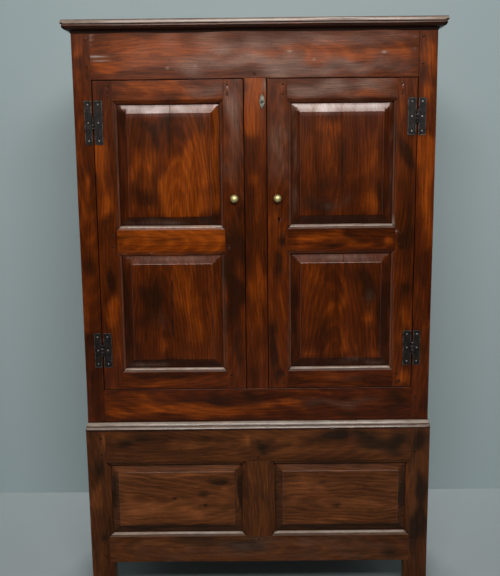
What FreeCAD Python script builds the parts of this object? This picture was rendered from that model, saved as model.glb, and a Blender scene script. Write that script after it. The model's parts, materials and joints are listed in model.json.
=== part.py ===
import FreeCAD, Part
import math
import os
from collections import namedtuple

# A joined press in two stages: a hanging cupboard with two panelled doors, over a closed panelled base
# on four legs. Every board, moulding, peg, nail and piece of ironwork is a solid of its own.
# Millimetres. X runs to the right, Y to the back and Z up. The origin is on the floor, under the middle
# of the whole outline, so the front stands at a negative Y.

V = FreeCAD.Vector
X = V(1, 0, 0)
Y = V(0, 1, 0)
Z = V(0, 0, 1)
LEFT = -1
RIGHT = 1
SIDES = {"left": LEFT, "right": RIGHT}

# Carcass of the upper stage
upper_width = 1200.0
upper_depth = 500.0
upper_stile_width = 61.0
upper_stile_depth = 45.0
upper_bottom_rail_height = 141.0
door_opening_height = 1058.0
frieze_rail_height = 173.0
centre_muntin_width = 74.0
upper_rail_thickness = 30.0
side_rail_thickness = 28.0

# Carcass of the base
leg_clearance = 135.0
base_side_step = 5.0
base_front_step = 18.0
base_bottom_rail_height = 98.0
base_opening_height = 283.0
base_top_rail_height = 120.0
base_leg_width = 81.0
base_leg_depth = 50.0
base_muntin_width = 89.0
base_rail_thickness = 32.0

# Doors
door_gap = 2.5
door_thickness = 25.0
door_hinge_stile_width = 64.0
door_meeting_stile_width = 66.0
door_top_rail_height = 65.0
door_middle_rail_height = 75.0
door_bottom_rail_height = 61.0
door_upper_opening_height = 429.0

# Cornice and waist moulding
cornice_height = 42.0
cornice_projection = 28.0
waist_height = 24.0
waist_overhang = 6.0

# Boards of the top, back and floor, and the rails that carry them
top_board_thickness = 15.0
top_board_count = 3
back_board_thickness = 12.0
back_board_count = 7
back_rail_height = 90.0
back_rail_thickness = 24.0
floor_board_thickness = 15.0
floor_board_count = 7
floor_height_in_rail = 24.0
floor_groove_depth = 9.0
board_gap = 0.8

# Edges, joints and pegs
arris = 0.8
joint_clearance = 0.3
mortise_end_gap = 1.0
tenon_shoulder = 16.0
frame_tenon_length = 34.0
frame_tenon_thickness = 9.0
door_tenon_length = 42.0
door_tenon_thickness = 7.0
peg_radius = 4.2
peg_clearance = 0.05
peg_proud = 0.9
peg_inset = 14.0
peg_length = 22.0
peg_spacing_share = 0.5

# Hanging rail inside
peg_rail_height = 64.0
peg_rail_thickness = 22.0
peg_rail_drop = 150.0
clothes_peg_count = 6
clothes_peg_reach = 88.0
clothes_peg_radius = 7.5
clothes_peg_head_radius = 13.0
clothes_peg_head_length = 18.0
clothes_peg_tenon_length = 16.0

# H hinges
hinge_leaf_thickness = 2.5
hinge_frame_leaf_width = 24.0
hinge_door_leaf_width = 28.0
hinge_leaf_edge = 4.0
hinge_knuckle_radius = 4.8
hinge_pin_radius = 2.4
hinge_pin_clearance = 0.05
hinge_pin_head = 1.6
hinge_knuckle_length = 13.0
hinge_knuckle_gap = 0.3
hinge_face_gap = 0.4
hinge_upper_drop = 64.0
hinge_lower_rise = 80.0
hinge_long_height = 144.0
hinge_short_height = 122.0
nail_head_radius = 3.1
nail_head_height = 1.5
nail_shank_radius = 1.4
nail_shank_length = 18.0
nail_clearance = 0.05
nail_end_inset = 13.0

# Knobs, latch, lock and turn button
knob_radius = 12.5
knob_flange_radius = 7.5
knob_flange_thickness = 1.5
knob_neck_radius = 5.0
knob_neck_length = 1.0
knob_height = 1442.0
knob_inset = 33.0
knob_screw_radius = 3.0
knob_screw_length = 18.0
spindle_radius = 4.0
spindle_clearance = 0.06
running_gap = 0.3
latch_hub_radius = 9.0
latch_width = 16.0
latch_thickness = 6.0
latch_reach = 56.0
latch_muntin_gap = 1.0
keyhole_height = 1373.0
keyhole_inset = 38.0
keyhole_radius = 4.0
keyhole_slot_width = 4.4
keyhole_slot_length = 10.0
lock_case_width = 70.0
lock_case_height = 84.0
lock_case_depth = 15.0
lock_case_wall = 2.0
lock_case_edge = 1.5
lock_case_rise_share = 0.42
bolt_thickness = 5.0
bolt_height = 20.0
bolt_length = 52.0
bolt_rise = 12.0
button_half_length = 22.0
button_half_width = 8.5
button_thickness = 4.0
button_tip_radius = 4.0
button_boss_radius = 5.5
button_boss_height = 1.6
button_pivot_inset = 13.5
button_height = 1761.0
button_screw_radius = 2.2
button_screw_head_radius = 4.4
button_screw_head_height = 2.4
button_screw_length = 22.0
cut_overrun = 2.0

# How a frame holds its panel: the thickness of the frame, the scratched moulding on its inner edge, the
# groove behind that moulding and the raised field of the panel, all measured from the face of the frame
Framing = namedtuple("Framing", "thickness moulding fillet fillet_sink fillet_fall quirk_width quirk "
                     "round_start round_end groove_front groove_back groove_depth panel_clearance "
                     "panel_drop margin field_setback field_step")
door_framing = Framing(thickness=door_thickness, moulding=14.0,
                       fillet=5.2, fillet_sink=0.5, fillet_fall=1.1,
                       quirk_width=0.6, quirk=2.6, round_start=2.0, round_end=6.8,
                       groove_front=9.0, groove_back=15.6,
                       groove_depth=9.0, panel_clearance=0.15, panel_drop=0.8,
                       margin=30.0, field_setback=2.2, field_step=0.7)
base_framing = Framing(thickness=base_rail_thickness, moulding=15.0,
                       fillet=5.6, fillet_sink=0.6, fillet_fall=1.3,
                       quirk_width=0.7, quirk=3.0, round_start=2.3, round_end=8.2,
                       groove_front=10.5, groove_back=17.5,
                       groove_depth=9.0, panel_clearance=0.15, panel_drop=0.8,
                       margin=26.0, field_setback=3.2, field_step=1.8)
upper_side_framing = door_framing._replace(thickness=side_rail_thickness)
base_side_framing = base_framing._replace(thickness=side_rail_thickness)
round_bulge_share = 0.59
nearly_parallel = 0.9
quarter_turn = 90.0

# Outline of the cornice: places as shares of its projection and of its height
cornice_cove_share = (0.44, 0.27)
cornice_cove_middle_share = (0.12, 0.19)
cornice_ovolo_share = (0.88, 0.57)
cornice_ovolo_middle_share = (0.78, 0.37)
cornice_fillet_top_share = (0.84, 0.66)
cornice_quirk_share = (0.80, 0.68)
cornice_nose_bottom_share = (1.0, 0.70)
cornice_nose_middle_share = (0.99, 0.83)
cornice_nose_top_share = (0.945, 0.965)
cornice_edge_share = (0.90, 1.0)

# Outline of the waist moulding: places as shares of its reach and of its height
waist_top_share = (0.26, 1.0)
waist_round_middle_share = (0.47, 0.82)
waist_round_share = (0.60, 0.56)
waist_cove_middle_share = (0.66, 0.46)
waist_cove_share = (0.79, 0.40)
waist_lip_middle_share = (0.91, 0.27)
waist_lip_share = (1.0, 0.08)
waist_foot_share = (0.97, 0.0)

# Outline of a clothes peg: radius and place as shares of its own
clothes_peg_neck_share = 0.72

# Levels, from the floor up
base_opening_bottom = leg_clearance + base_bottom_rail_height
base_opening_top = base_opening_bottom + base_opening_height
base_top = base_opening_top + base_top_rail_height
door_opening_bottom = base_top + upper_bottom_rail_height
door_opening_top = door_opening_bottom + door_opening_height
upper_frame_top = door_opening_top + frieze_rail_height
overall_height = upper_frame_top + top_board_thickness
cornice_bottom = overall_height - cornice_height
door_bottom = door_opening_bottom + door_gap
door_top = door_opening_top - door_gap
door_upper_opening_top = door_top - door_top_rail_height
door_upper_opening_bottom = door_upper_opening_top - door_upper_opening_height
door_lower_opening_top = door_upper_opening_bottom - door_middle_rail_height
door_lower_opening_bottom = door_bottom + door_bottom_rail_height
floor_bottom = leg_clearance + floor_height_in_rail

# Places across and in depth
upper_half = upper_width / 2
upper_opening_half = upper_half - upper_stile_width
muntin_half = centre_muntin_width / 2
base_half = upper_half + base_side_step
base_width = 2 * base_half
base_moulding = base_framing.moulding
base_joint_half = base_half - base_leg_width + base_moulding
base_muntin_half = base_muntin_width / 2
front_y = -(upper_depth - cornice_projection) / 2
back_y = front_y + upper_depth
base_front_y = front_y - base_front_step
door_outer = upper_opening_half - door_gap
door_inner = muntin_half + door_gap
hinge_x = upper_opening_half - door_gap / 2
hinge_pin_depth = -(hinge_face_gap + hinge_knuckle_radius)

pieces = {}
holes = {}


def keep(name, *solids):
    """Adds solids to the node of that name."""
    pieces.setdefault(name, []).extend(solids)


class Face:
    """One flat side of the cupboard. Places on it are given across, deep into the wood, and up."""

    def __init__(self, origin, across, depth):
        self.origin = origin
        self.across = across
        self.depth = depth

    def at(self, a, d, z):
        return self.origin + self.across * a + self.depth * d + Z * z

    def block(self, a0, a1, d0, d1, z0, z1):
        p = self.at(a0, d0, z0)
        q = self.at(a1, d1, z1)
        low = V(min(p.x, q.x), min(p.y, q.y), min(p.z, q.z))
        return Part.makeBox(abs(q.x - p.x), abs(q.y - p.y), abs(q.z - p.z), low)

    def board(self, a0, a1, z0, z1, thickness, grain):
        """A board with its face on this side, the long edges of that face taken off a little."""
        solid = self.block(a0, a1, 0, thickness, z0, z1)
        edges = []
        for edge in solid.Edges:
            ends = [vertex.Point - self.origin for vertex in edge.Vertexes]
            on_face = max(abs(end.dot(self.depth)) for end in ends) < arris / 2
            along = abs((ends[1] - ends[0]).normalize().dot(grain)) > nearly_parallel
            if on_face and along:
                edges.append(edge)
        return solid.makeChamfer(arris, edges)

    def drilled(self, a, z, start, end, radius):
        """A round bar, square to this side."""
        return Part.makeCylinder(radius, end - start, self.at(a, start, z), self.depth)


def upper_front():
    return Face(V(0, front_y, 0), X, Y)


def base_front():
    return Face(V(0, base_front_y, 0), X, Y)


def flank(half_width, side):
    """The outer side of a stage. Places across it are plain Y."""
    return Face(V(side * half_width, 0, 0), Y, X * (-side))


def moulding_strip(face, corner, along, inward, length, framing):
    """One moulded edge, mitred at both ends. It starts at a corner of the opening's outer line."""
    f = framing

    def place(w, d):
        return corner + inward * w + face.depth * d

    round_w = f.fillet + 2 * f.quirk_width
    bulge_w = f.moulding - (f.moulding - round_w) * (1 - round_bulge_share)
    bulge_d = f.round_end - (f.round_end - f.round_start) * round_bulge_share
    outline = [
        Part.LineSegment(place(0, f.thickness), place(0, f.fillet_sink)),
        Part.LineSegment(place(0, f.fillet_sink), place(f.fillet, f.fillet_sink + f.fillet_fall)),
        Part.LineSegment(place(f.fillet, f.fillet_sink + f.fillet_fall),
                         place(f.fillet + f.quirk_width, f.quirk)),
        Part.LineSegment(place(f.fillet + f.quirk_width, f.quirk), place(round_w, f.round_start)),
        Part.Arc(place(round_w, f.round_start), place(bulge_w, bulge_d), place(f.moulding, f.round_end)),
        Part.LineSegment(place(f.moulding, f.round_end), place(f.moulding, f.thickness)),
        Part.LineSegment(place(f.moulding, f.thickness), place(0, f.thickness)),
    ]
    wire = Part.Wire([line.toShape() for line in outline])
    strip = Part.Face(wire).extrude(along * length)
    plan = [corner, corner + along * length,
            corner + along * (length - f.moulding) + inward * f.moulding,
            corner + along * f.moulding + inward * f.moulding]
    mitre = Part.Face(Part.makePolygon(plan + plan[:1])).extrude(face.depth * f.thickness)
    return strip.common(mitre)


def bay(face, a0, a1, z0, z1, framing):
    """The four moulded edges of one panel opening, grooved for the panel, and the fielded panel in it."""
    f = framing
    low, high = face.at(a0, 0, z0), face.at(a1, 0, z1)
    strips = {
        "low": moulding_strip(face, low, Z, face.across, z1 - z0, f),
        "high": moulding_strip(face, high, Z * -1, face.across * -1, z1 - z0, f),
        "bottom": moulding_strip(face, low, face.across, Z, a1 - a0, f),
        "top": moulding_strip(face, high, face.across * -1, Z * -1, a1 - a0, f),
    }
    sight = (a0 + f.moulding, a1 - f.moulding, z0 + f.moulding, z1 - f.moulding)
    g = f.groove_depth
    groove = face.block(sight[0] - g, sight[1] + g, f.groove_front, f.groove_back,
                        sight[2] - g, sight[3] + g)
    strips = {name: strip.cut(groove) for name, strip in strips.items()}

    t = g - f.panel_drop
    front = f.groove_front + f.panel_clearance
    back = f.groove_back - f.panel_clearance
    tongue = face.block(sight[0] - t, sight[1] + t, front, back, sight[2] - t, sight[3] + t)
    m = f.margin
    field = (sight[0] + m, sight[1] - m, sight[2] + m, sight[3] - m)
    field_back = f.field_setback + f.field_step
    bevel = Part.makeLoft([rectangle(face, sight, front), rectangle(face, field, field_back)], True, True)
    raised = face.block(field[0], field[1], f.field_setback, field_back, field[2], field[3])
    strips["panel"] = tongue.fuse([bevel, raised]).removeSplitter()
    return strips


def rectangle(face, sides, d):
    a0, a1, z0, z1 = sides
    corners = [face.at(a0, d, z0), face.at(a1, d, z0), face.at(a1, d, z1), face.at(a0, d, z1)]
    return Part.makePolygon(corners + corners[:1])


def joined(body, *more):
    """Wood that grows from one board: fused, with no seams left on flat faces."""
    return body.fuse(list(more)).removeSplitter()


def rail_tenons(face, a0, a1, z0, z1, front, thickness, length):
    back = front + thickness
    bottom, top = z0 + tenon_shoulder, z1 - tenon_shoulder
    return [face.block(a0 - length, a0, front, back, bottom, top),
            face.block(a1, a1 + length, front, back, bottom, top)]


def upright_tenons(face, a0, a1, z0, z1, front, thickness, length):
    back = front + thickness
    low, high = a0 + tenon_shoulder, a1 - tenon_shoulder
    return [face.block(low, high, front, back, z0 - length, z0),
            face.block(low, high, front, back, z1, z1 + length)]


def peg_places(z0, z1):
    """Heights of the two pegs of a joint, or of one where the rail is narrow."""
    middle, reach = (z0 + z1) / 2, (z1 - z0) * peg_spacing_share / 2
    if reach < peg_inset:
        return [middle]
    return [middle - reach, middle + reach]


def peg(face, a, z, peg_node, wood_nodes, length=peg_length):
    """A drawbore peg, a little proud of the face, and its hole in the nodes it goes through."""
    keep(peg_node, face.drilled(a, z, -peg_proud, length, peg_radius))
    hole = face.drilled(a, z, -peg_proud, length + joint_clearance, peg_radius + peg_clearance)
    for node in wood_nodes:
        holes.setdefault(node, []).append(hole)


def upper_front_frame():
    """Frieze rail, bottom rail and centre muntin of the upper stage."""
    face = upper_front()
    front = (upper_rail_thickness - frame_tenon_thickness) / 2
    half = upper_opening_half
    rails = {"frieze_rail": (door_opening_top, upper_frame_top),
             "upper_bottom_rail": (base_top, door_opening_bottom)}
    mortises = []
    for node, (z0, z1) in rails.items():
        board = face.board(-half, half, z0, z1, upper_rail_thickness, X)
        sizes = (face, -half, half, z0, z1, front, frame_tenon_thickness)
        keep(node, joined(board, *rail_tenons(*sizes, frame_tenon_length)))
        mortises += rail_tenons(*sizes, frame_tenon_length + mortise_end_gap)
        for name, side in SIDES.items():
            for z in peg_places(z0, z1):
                stile = "upper_%s_front_stile" % name
                peg(face, side * (half + peg_inset), z, "frame_pegs", [node, stile])

    z0, z1 = door_opening_bottom, door_opening_top
    board = face.board(-muntin_half, muntin_half, z0, z1, upper_rail_thickness, Z)
    sizes = (face, -muntin_half, muntin_half, z0, z1, front, frame_tenon_thickness)
    keep("centre_muntin", joined(board, *upright_tenons(*sizes, frame_tenon_length)))
    for node in rails:
        cut_from(node, upright_tenons(*sizes, frame_tenon_length + mortise_end_gap))
    peg(face, 0, z0 - peg_inset, "frame_pegs", ["centre_muntin", "upper_bottom_rail"])
    peg(face, 0, z1 + peg_inset, "frame_pegs", ["centre_muntin", "frieze_rail"])
    return mortises


def upper_sides():
    """Side rails and panels of the upper stage. Gives the edges that the stiles carry, and the mortises."""
    bays = [(door_opening_bottom, door_lower_opening_top), (door_upper_opening_bottom, door_opening_top)]
    rails = [(base_top, door_opening_bottom), (door_lower_opening_top, door_upper_opening_bottom),
             (door_opening_top, upper_frame_top)]
    return side_frame("upper", upper_half, front_y + upper_stile_depth, back_y - upper_stile_depth,
                      rails, bays, upper_side_framing)


def base_sides():
    """Side rails and panels of the base."""
    bays = [(base_opening_bottom, base_opening_top)]
    rails = [(leg_clearance, base_opening_bottom), (base_opening_top, base_top)]
    return side_frame("base", base_half, base_front_y + base_leg_depth, back_y - base_leg_depth,
                      rails, bays, base_side_framing)


def side_frame(stage, half_width, a0, a1, rails, bays, framing):
    """Both sides of a stage. The edges and mortises come back by side, then front or back."""
    edges = {}
    mortises = []
    posts = "stile" if stage == "upper" else "leg"
    for name, side in SIDES.items():
        face = flank(half_width, side)
        strips = [bay(face, a0, a1, z0, z1, framing) for z0, z1 in bays]
        keep("%s_side_panels" % stage, *[strip["panel"] for strip in strips])
        edges[name, "front"] = [strip["low"] for strip in strips]
        edges[name, "back"] = [strip["high"] for strip in strips]
        for index, (z0, z1) in enumerate(rails):
            board = face.board(a0, a1, z0, z1, framing.thickness, Y)
            sizes = (face, a0, a1, z0, z1, framing.groove_front, frame_tenon_thickness)
            grown = rail_tenons(*sizes, frame_tenon_length)
            if index > 0:
                grown.append(strips[index - 1]["top"])
            if index < len(bays):
                grown.append(strips[index]["bottom"])
            node = "%s_side_rails" % stage
            keep(node, joined(board, *grown))
            mortises += rail_tenons(*sizes, frame_tenon_length + mortise_end_gap)
            for end, a in (("front", a0 - peg_inset), ("back", a1 + peg_inset)):
                post = "%s_%s_%s_%s" % (stage, name, end, posts)
                for z in peg_places(z0, z1):
                    peg(face, a, z, "frame_pegs", [node, post])
    return edges, mortises


def upper_stiles(mortises, edges):
    """The four corner posts of the upper stage."""
    for name, side in SIDES.items():
        inner, outer = side * upper_opening_half, side * upper_half
        face = upper_front()
        post = face.board(inner, outer, base_top, upper_frame_top, upper_stile_depth, Z)
        keep("upper_%s_front_stile" % name, joined(post, *edges[name, "front"]))
        face = Face(V(0, back_y, 0), X, Y * -1)
        post = face.board(inner, outer, base_top, upper_frame_top, upper_stile_depth, Z)
        keep("upper_%s_back_stile" % name, joined(post, *edges[name, "back"]))
        for end in ("front", "back"):
            cut_from("upper_%s_%s_stile" % (name, end), mortises)


def base_legs(mortises, edges, front_edges):
    """The four stiles of the base, which run down as feet."""
    inner, joint, outer = base_half - base_leg_width, base_joint_half, base_half
    for name, side in SIDES.items():
        face = base_front()
        stile = face.board(side * joint, side * outer, leg_clearance, base_top, base_leg_depth, Z)
        foot = face.board(side * inner, side * outer, 0, leg_clearance, base_leg_depth, Z)
        behind = face.block(side * inner, side * joint, base_rail_thickness, base_leg_depth,
                            leg_clearance, base_top)
        keep("base_%s_front_leg" % name,
             joined(stile, foot, behind, front_edges[name], *edges[name, "front"]))
        face = Face(V(0, back_y, 0), X, Y * -1)
        leg = face.board(side * inner, side * outer, 0, base_top, base_leg_depth, Z)
        keep("base_%s_back_leg" % name, joined(leg, *edges[name, "back"]))
        for end in ("front", "back"):
            cut_from("base_%s_%s_leg" % (name, end), mortises)


def cut_from(node, blocks):
    """Cuts from a node each block that its solids meet."""
    cut = []
    for solid in pieces[node]:
        near = [block for block in blocks if solid.BoundBox.intersect(block.BoundBox)]
        cut.append(solid.cut(near) if near else solid)
    pieces[node] = cut


def base_front_frame():
    """Rails, muntin and the two long panels of the base."""
    face = base_front()
    f = base_framing
    front = f.groove_front
    joint, middle = base_joint_half, base_muntin_half
    z0, z1 = base_opening_bottom, base_opening_top
    bays = {"left": bay(face, -joint, -middle, z0, z1, f), "right": bay(face, middle, joint, z0, z1, f)}
    keep("base_left_panel", bays["left"]["panel"])
    keep("base_right_panel", bays["right"]["panel"])

    mortises = []
    rails = {"base_bottom_rail": (leg_clearance, z0, "bottom"), "base_top_rail": (z1, base_top, "top")}
    for node, (low, high, edge) in rails.items():
        board = face.board(-joint, joint, low, high, f.thickness, X)
        sizes = (face, -joint, joint, low, high, front, frame_tenon_thickness)
        grown = rail_tenons(*sizes, frame_tenon_length) + [bays["left"][edge], bays["right"][edge]]
        keep(node, joined(board, *grown))
        mortises += rail_tenons(*sizes, frame_tenon_length + mortise_end_gap)
        for name, side in SIDES.items():
            for z in peg_places(low, high):
                leg = "base_%s_front_leg" % name
                peg(face, side * (joint + peg_inset), z, "frame_pegs", [node, leg])

    board = face.board(-middle, middle, z0, z1, f.thickness, Z)
    sizes = (face, -middle, middle, z0, z1, front, frame_tenon_thickness)
    grown = upright_tenons(*sizes, frame_tenon_length) + [bays["left"]["high"], bays["right"]["low"]]
    keep("base_muntin", joined(board, *grown))
    for node in rails:
        cut_from(node, upright_tenons(*sizes, frame_tenon_length + mortise_end_gap))
    peg(face, 0, z0 - peg_inset, "frame_pegs", ["base_muntin", "base_bottom_rail"])
    peg(face, 0, z1 + peg_inset, "frame_pegs", ["base_muntin", "base_top_rail"])
    return mortises, {"left": bays["left"]["low"], "right": bays["right"]["high"]}


def back_frame():
    """The rails across the back, tenoned into the back posts. Gives their mortises."""
    face = Face(V(0, back_y, 0), X, Y * -1)
    front = back_board_thickness + (back_rail_thickness - frame_tenon_thickness) / 2
    middle = (door_lower_opening_top + door_upper_opening_bottom - back_rail_height) / 2
    upper = [base_top, middle, upper_frame_top - back_rail_height]
    base = [leg_clearance, base_top - back_rail_height]
    mortises = []
    for half, levels in ((upper_opening_half, upper), (base_half - base_leg_width, base)):
        for z0 in levels:
            z1 = z0 + back_rail_height
            rail = face.block(-half, half, back_board_thickness, back_board_thickness + back_rail_thickness,
                              z0, z1)
            sizes = (face, -half, half, z0, z1, front, frame_tenon_thickness)
            keep("back_rails", joined(rail, *rail_tenons(*sizes, frame_tenon_length)))
            mortises += rail_tenons(*sizes, frame_tenon_length + mortise_end_gap)
    return mortises


def back_boards():
    """Upright boards nailed to the back rails, between the posts."""
    face = Face(V(0, back_y, 0), X, Y * -1)
    for half, z0, z1 in ((upper_opening_half, base_top, upper_frame_top),
                         (base_half - base_leg_width, leg_clearance, base_top)):
        step = 2 * half / back_board_count
        for index in range(back_board_count):
            low = index * step - half + board_gap / 2
            keep("back_boards", face.block(low, low + step - board_gap, 0, back_board_thickness,
                                           z0 + board_gap, z1 - board_gap))


def top_boards():
    """Long boards that close the top, inside the cornice."""
    step = upper_depth / top_board_count
    for index in range(top_board_count):
        y0 = front_y + index * step + (board_gap if index else 0)
        y1 = front_y + (index + 1) * step
        keep("top_boards", Part.makeBox(upper_width, y1 - y0, top_board_thickness,
                                        V(-upper_half, y0, upper_frame_top)))


def floor_boards():
    """The floor of the hanging space: boards from front to back, let into the bottom rails."""
    half = base_half - side_rail_thickness - joint_clearance
    y0 = base_front_y + base_rail_thickness - floor_groove_depth
    y1 = back_y - back_board_thickness - back_rail_thickness + floor_groove_depth
    grooves = Part.makeBox(2 * half, y1 - y0 + 2 * joint_clearance, floor_board_thickness,
                           V(-half, y0 - joint_clearance, floor_bottom))
    inner = base_half - base_leg_width - joint_clearance
    legs = []
    for side in SIDES.values():
        for start, reach in ((base_front_y, base_leg_depth), (back_y, -base_leg_depth)):
            end = start + reach + (joint_clearance if reach > 0 else -joint_clearance)
            low = V(min(side * inner, side * base_half), min(start, end), floor_bottom)
            legs.append(Part.makeBox(base_half - inner, abs(end - start), floor_board_thickness, low))
    step = 2 * half / floor_board_count
    for index in range(floor_board_count):
        board = Part.makeBox(step - board_gap, y1 - y0, floor_board_thickness,
                             V(index * step - half + board_gap / 2, y0, floor_bottom))
        keep("base_floor_boards", board.cut(legs))
    cut_from("base_bottom_rail", [grooves])
    cut_from("back_rails", [grooves])


def section_wire(lines):
    return Part.Face(Part.Wire([line.toShape() for line in lines]))


def cornice_section(place):
    """Outline of the cornice: a cyma under a fillet and a nose. place takes reach and height."""
    p, h = cornice_projection, cornice_height

    def at(share):
        return place(share[0] * p, cornice_bottom + share[1] * h)

    foot, top = place(0, cornice_bottom), place(0, overall_height)
    return section_wire([
        Part.Arc(foot, at(cornice_cove_middle_share), at(cornice_cove_share)),
        Part.Arc(at(cornice_cove_share), at(cornice_ovolo_middle_share), at(cornice_ovolo_share)),
        Part.LineSegment(at(cornice_ovolo_share), at(cornice_fillet_top_share)),
        Part.LineSegment(at(cornice_fillet_top_share), at(cornice_quirk_share)),
        Part.LineSegment(at(cornice_quirk_share), at(cornice_nose_bottom_share)),
        Part.Arc(at(cornice_nose_bottom_share), at(cornice_nose_middle_share), at(cornice_nose_top_share)),
        Part.LineSegment(at(cornice_nose_top_share), at(cornice_edge_share)),
        Part.LineSegment(at(cornice_edge_share), top),
        Part.LineSegment(top, foot),
    ])


def cornice():
    """The front length and the two returns, mitred at the front corners."""
    p = cornice_projection
    reach = upper_half + p
    strip = cornice_section(lambda out, z: V(-reach, front_y - out, z)).extrude(X * (2 * reach))
    plan = [V(-upper_half, front_y, cornice_bottom), V(upper_half, front_y, cornice_bottom),
            V(reach, front_y - p, cornice_bottom), V(-reach, front_y - p, cornice_bottom)]
    mitre = Part.Face(Part.makePolygon(plan + plan[:1])).extrude(Z * cornice_height)
    keep("cornice_front", strip.common(mitre))
    for side in SIDES.values():
        strip = cornice_section(lambda out, z: V(side * (upper_half + out), front_y - p, z))
        strip = strip.extrude(Y * (upper_depth + p))
        plan = [V(side * upper_half, front_y, cornice_bottom), V(side * reach, front_y - p, cornice_bottom),
                V(side * reach, back_y, cornice_bottom), V(side * upper_half, back_y, cornice_bottom)]
        mitre = Part.Face(Part.makePolygon(plan + plan[:1])).extrude(Z * cornice_height)
        keep("cornice_returns", strip.common(mitre))


def waist_section(place, reach):
    """Outline of the waist moulding: a round top, a cove and a lip at the foot."""
    h = waist_height

    def at(share):
        return place(share[0] * reach, base_top + share[1] * h)

    inner_foot, inner_top = place(0, base_top), place(0, base_top + h)
    return section_wire([
        Part.LineSegment(inner_foot, inner_top),
        Part.LineSegment(inner_top, at(waist_top_share)),
        Part.Arc(at(waist_top_share), at(waist_round_middle_share), at(waist_round_share)),
        Part.Arc(at(waist_round_share), at(waist_cove_middle_share), at(waist_cove_share)),
        Part.Arc(at(waist_cove_share), at(waist_lip_middle_share), at(waist_lip_share)),
        Part.LineSegment(at(waist_lip_share), at(waist_foot_share)),
        Part.LineSegment(at(waist_foot_share), inner_foot),
    ])


def waist_moulding():
    """A front strip on the ledge of the base, and thin returns along its sides."""
    reach = base_front_step + waist_overhang
    length = base_width
    strip = waist_section(lambda out, z: V(-base_half, front_y - out, z), reach).extrude(X * length)
    depth = reach + upper_depth
    ends = Part.makeBox(upper_width, depth, waist_height, V(-upper_half, front_y - reach, base_top))
    returns = []
    for side in SIDES.values():
        edge = waist_section(lambda out, z: V(side * (upper_half + out), front_y - reach, z),
                             base_side_step)
        returns.append(edge.extrude(Y * depth))
    keep("waist_moulding", strip.common(ends.fuse(returns)).removeSplitter())
    behind = Part.makeBox(base_width, upper_depth, waist_height, V(-base_half, front_y, base_top))
    for solid in returns:
        keep("waist_moulding", solid.common(behind))


def hanging_rail():
    """The rail with turned pegs, high inside the back."""
    top = door_opening_top - peg_rail_drop + peg_rail_height
    y1 = back_y - back_board_thickness
    y0 = y1 - peg_rail_thickness
    half = upper_opening_half - joint_clearance
    rail = Part.makeBox(2 * half, peg_rail_thickness, peg_rail_height, V(-half, y0, top - peg_rail_height))
    step = 2 * half / clothes_peg_count
    z = top - peg_rail_height / 2
    for index in range(clothes_peg_count):
        x = (index - (clothes_peg_count - 1) / 2) * step
        hole_radius = clothes_peg_radius * clothes_peg_neck_share + peg_clearance
        tenon_hole = Part.makeCylinder(hole_radius, clothes_peg_tenon_length, V(x, y0, z), Y)
        rail = rail.cut(tenon_hole)
        keep("clothes_pegs", clothes_peg(x, y0, z))
    keep("peg_rail", rail)


def clothes_peg(x, y0, z):
    """A turned peg: a round tenon, a tapering stem and a mushroom head."""
    neck = clothes_peg_radius * clothes_peg_neck_share
    collar = clothes_peg_head_length * (1 - clothes_peg_neck_share)
    stem = clothes_peg_reach - clothes_peg_head_length
    front = Y * -1
    tenon = Part.makeCylinder(neck, clothes_peg_tenon_length, V(x, y0, z), Y)
    shaft = Part.makeCone(clothes_peg_radius, neck, stem, V(x, y0, z), front)
    flare = Part.makeCone(neck, clothes_peg_head_radius, collar, V(x, y0 - stem, z), front)
    head_base = V(x, y0 - stem - collar, z)
    head = dome(clothes_peg_head_radius, clothes_peg_head_length - collar, head_base, front)
    return tenon.fuse([shaft, flare, head])


def door(name, side):
    """One door: stiles, rails, two fielded panels and the pegs of its joints."""
    face = upper_front()
    f = door_framing
    outer_joint = door_outer - door_hinge_stile_width
    inner_joint = door_inner + door_meeting_stile_width
    a0, a1 = sorted((side * inner_joint, side * outer_joint))
    bays = [bay(face, a0, a1, door_lower_opening_bottom, door_lower_opening_top, f),
            bay(face, a0, a1, door_upper_opening_bottom, door_upper_opening_top, f)]
    keep("%s_door_lower_panel" % name, bays[0]["panel"])
    keep("%s_door_upper_panel" % name, bays[1]["panel"])

    edge_at_hinge = "high" if side == RIGHT else "low"
    edge_at_meeting = "low" if side == RIGHT else "high"
    stiles = {"hinge": (outer_joint, door_outer, edge_at_hinge),
              "meeting": (door_inner, inner_joint, edge_at_meeting)}
    for stile, (inner, outer, edge) in stiles.items():
        board = face.board(side * inner, side * outer, door_bottom, door_top, f.thickness, Z)
        keep("%s_door_%s_stile" % (name, stile), joined(board, bays[0][edge], bays[1][edge]))

    rails = {"bottom": (door_bottom, door_lower_opening_bottom, [bays[0]["bottom"]]),
             "middle": (door_lower_opening_top, door_upper_opening_bottom,
                        [bays[0]["top"], bays[1]["bottom"]]),
             "top": (door_upper_opening_top, door_top, [bays[1]["top"]])}
    mortises = []
    for rail, (z0, z1, edges) in rails.items():
        node = "%s_door_%s_rail" % (name, rail)
        board = face.board(a0, a1, z0, z1, f.thickness, X)
        sizes = (face, a0, a1, z0, z1, f.groove_front, door_tenon_thickness)
        keep(node, joined(board, *rail_tenons(*sizes, door_tenon_length), *edges))
        mortises += rail_tenons(*sizes, door_tenon_length + mortise_end_gap)
        for stile, a in (("hinge", outer_joint + peg_inset), ("meeting", inner_joint - peg_inset)):
            for z in peg_places(z0, z1):
                wood = [node, "%s_door_%s_stile" % (name, stile)]
                peg(face, side * a, z, "%s_door_pegs" % name, wood, door_thickness + peg_proud)
    for stile in stiles:
        cut_from("%s_door_%s_stile" % (name, stile), mortises)


def dome(radius, height, base, direction):
    """A low round head on a flat face, such as a nail's."""
    ball = (radius * radius + height * height) / (2 * height)
    centre = base + direction * (height - ball)
    rim = math.degrees(math.asin((ball - height) / ball))
    return Part.makeSphere(ball, centre, direction, rim, quarter_turn)


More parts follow.
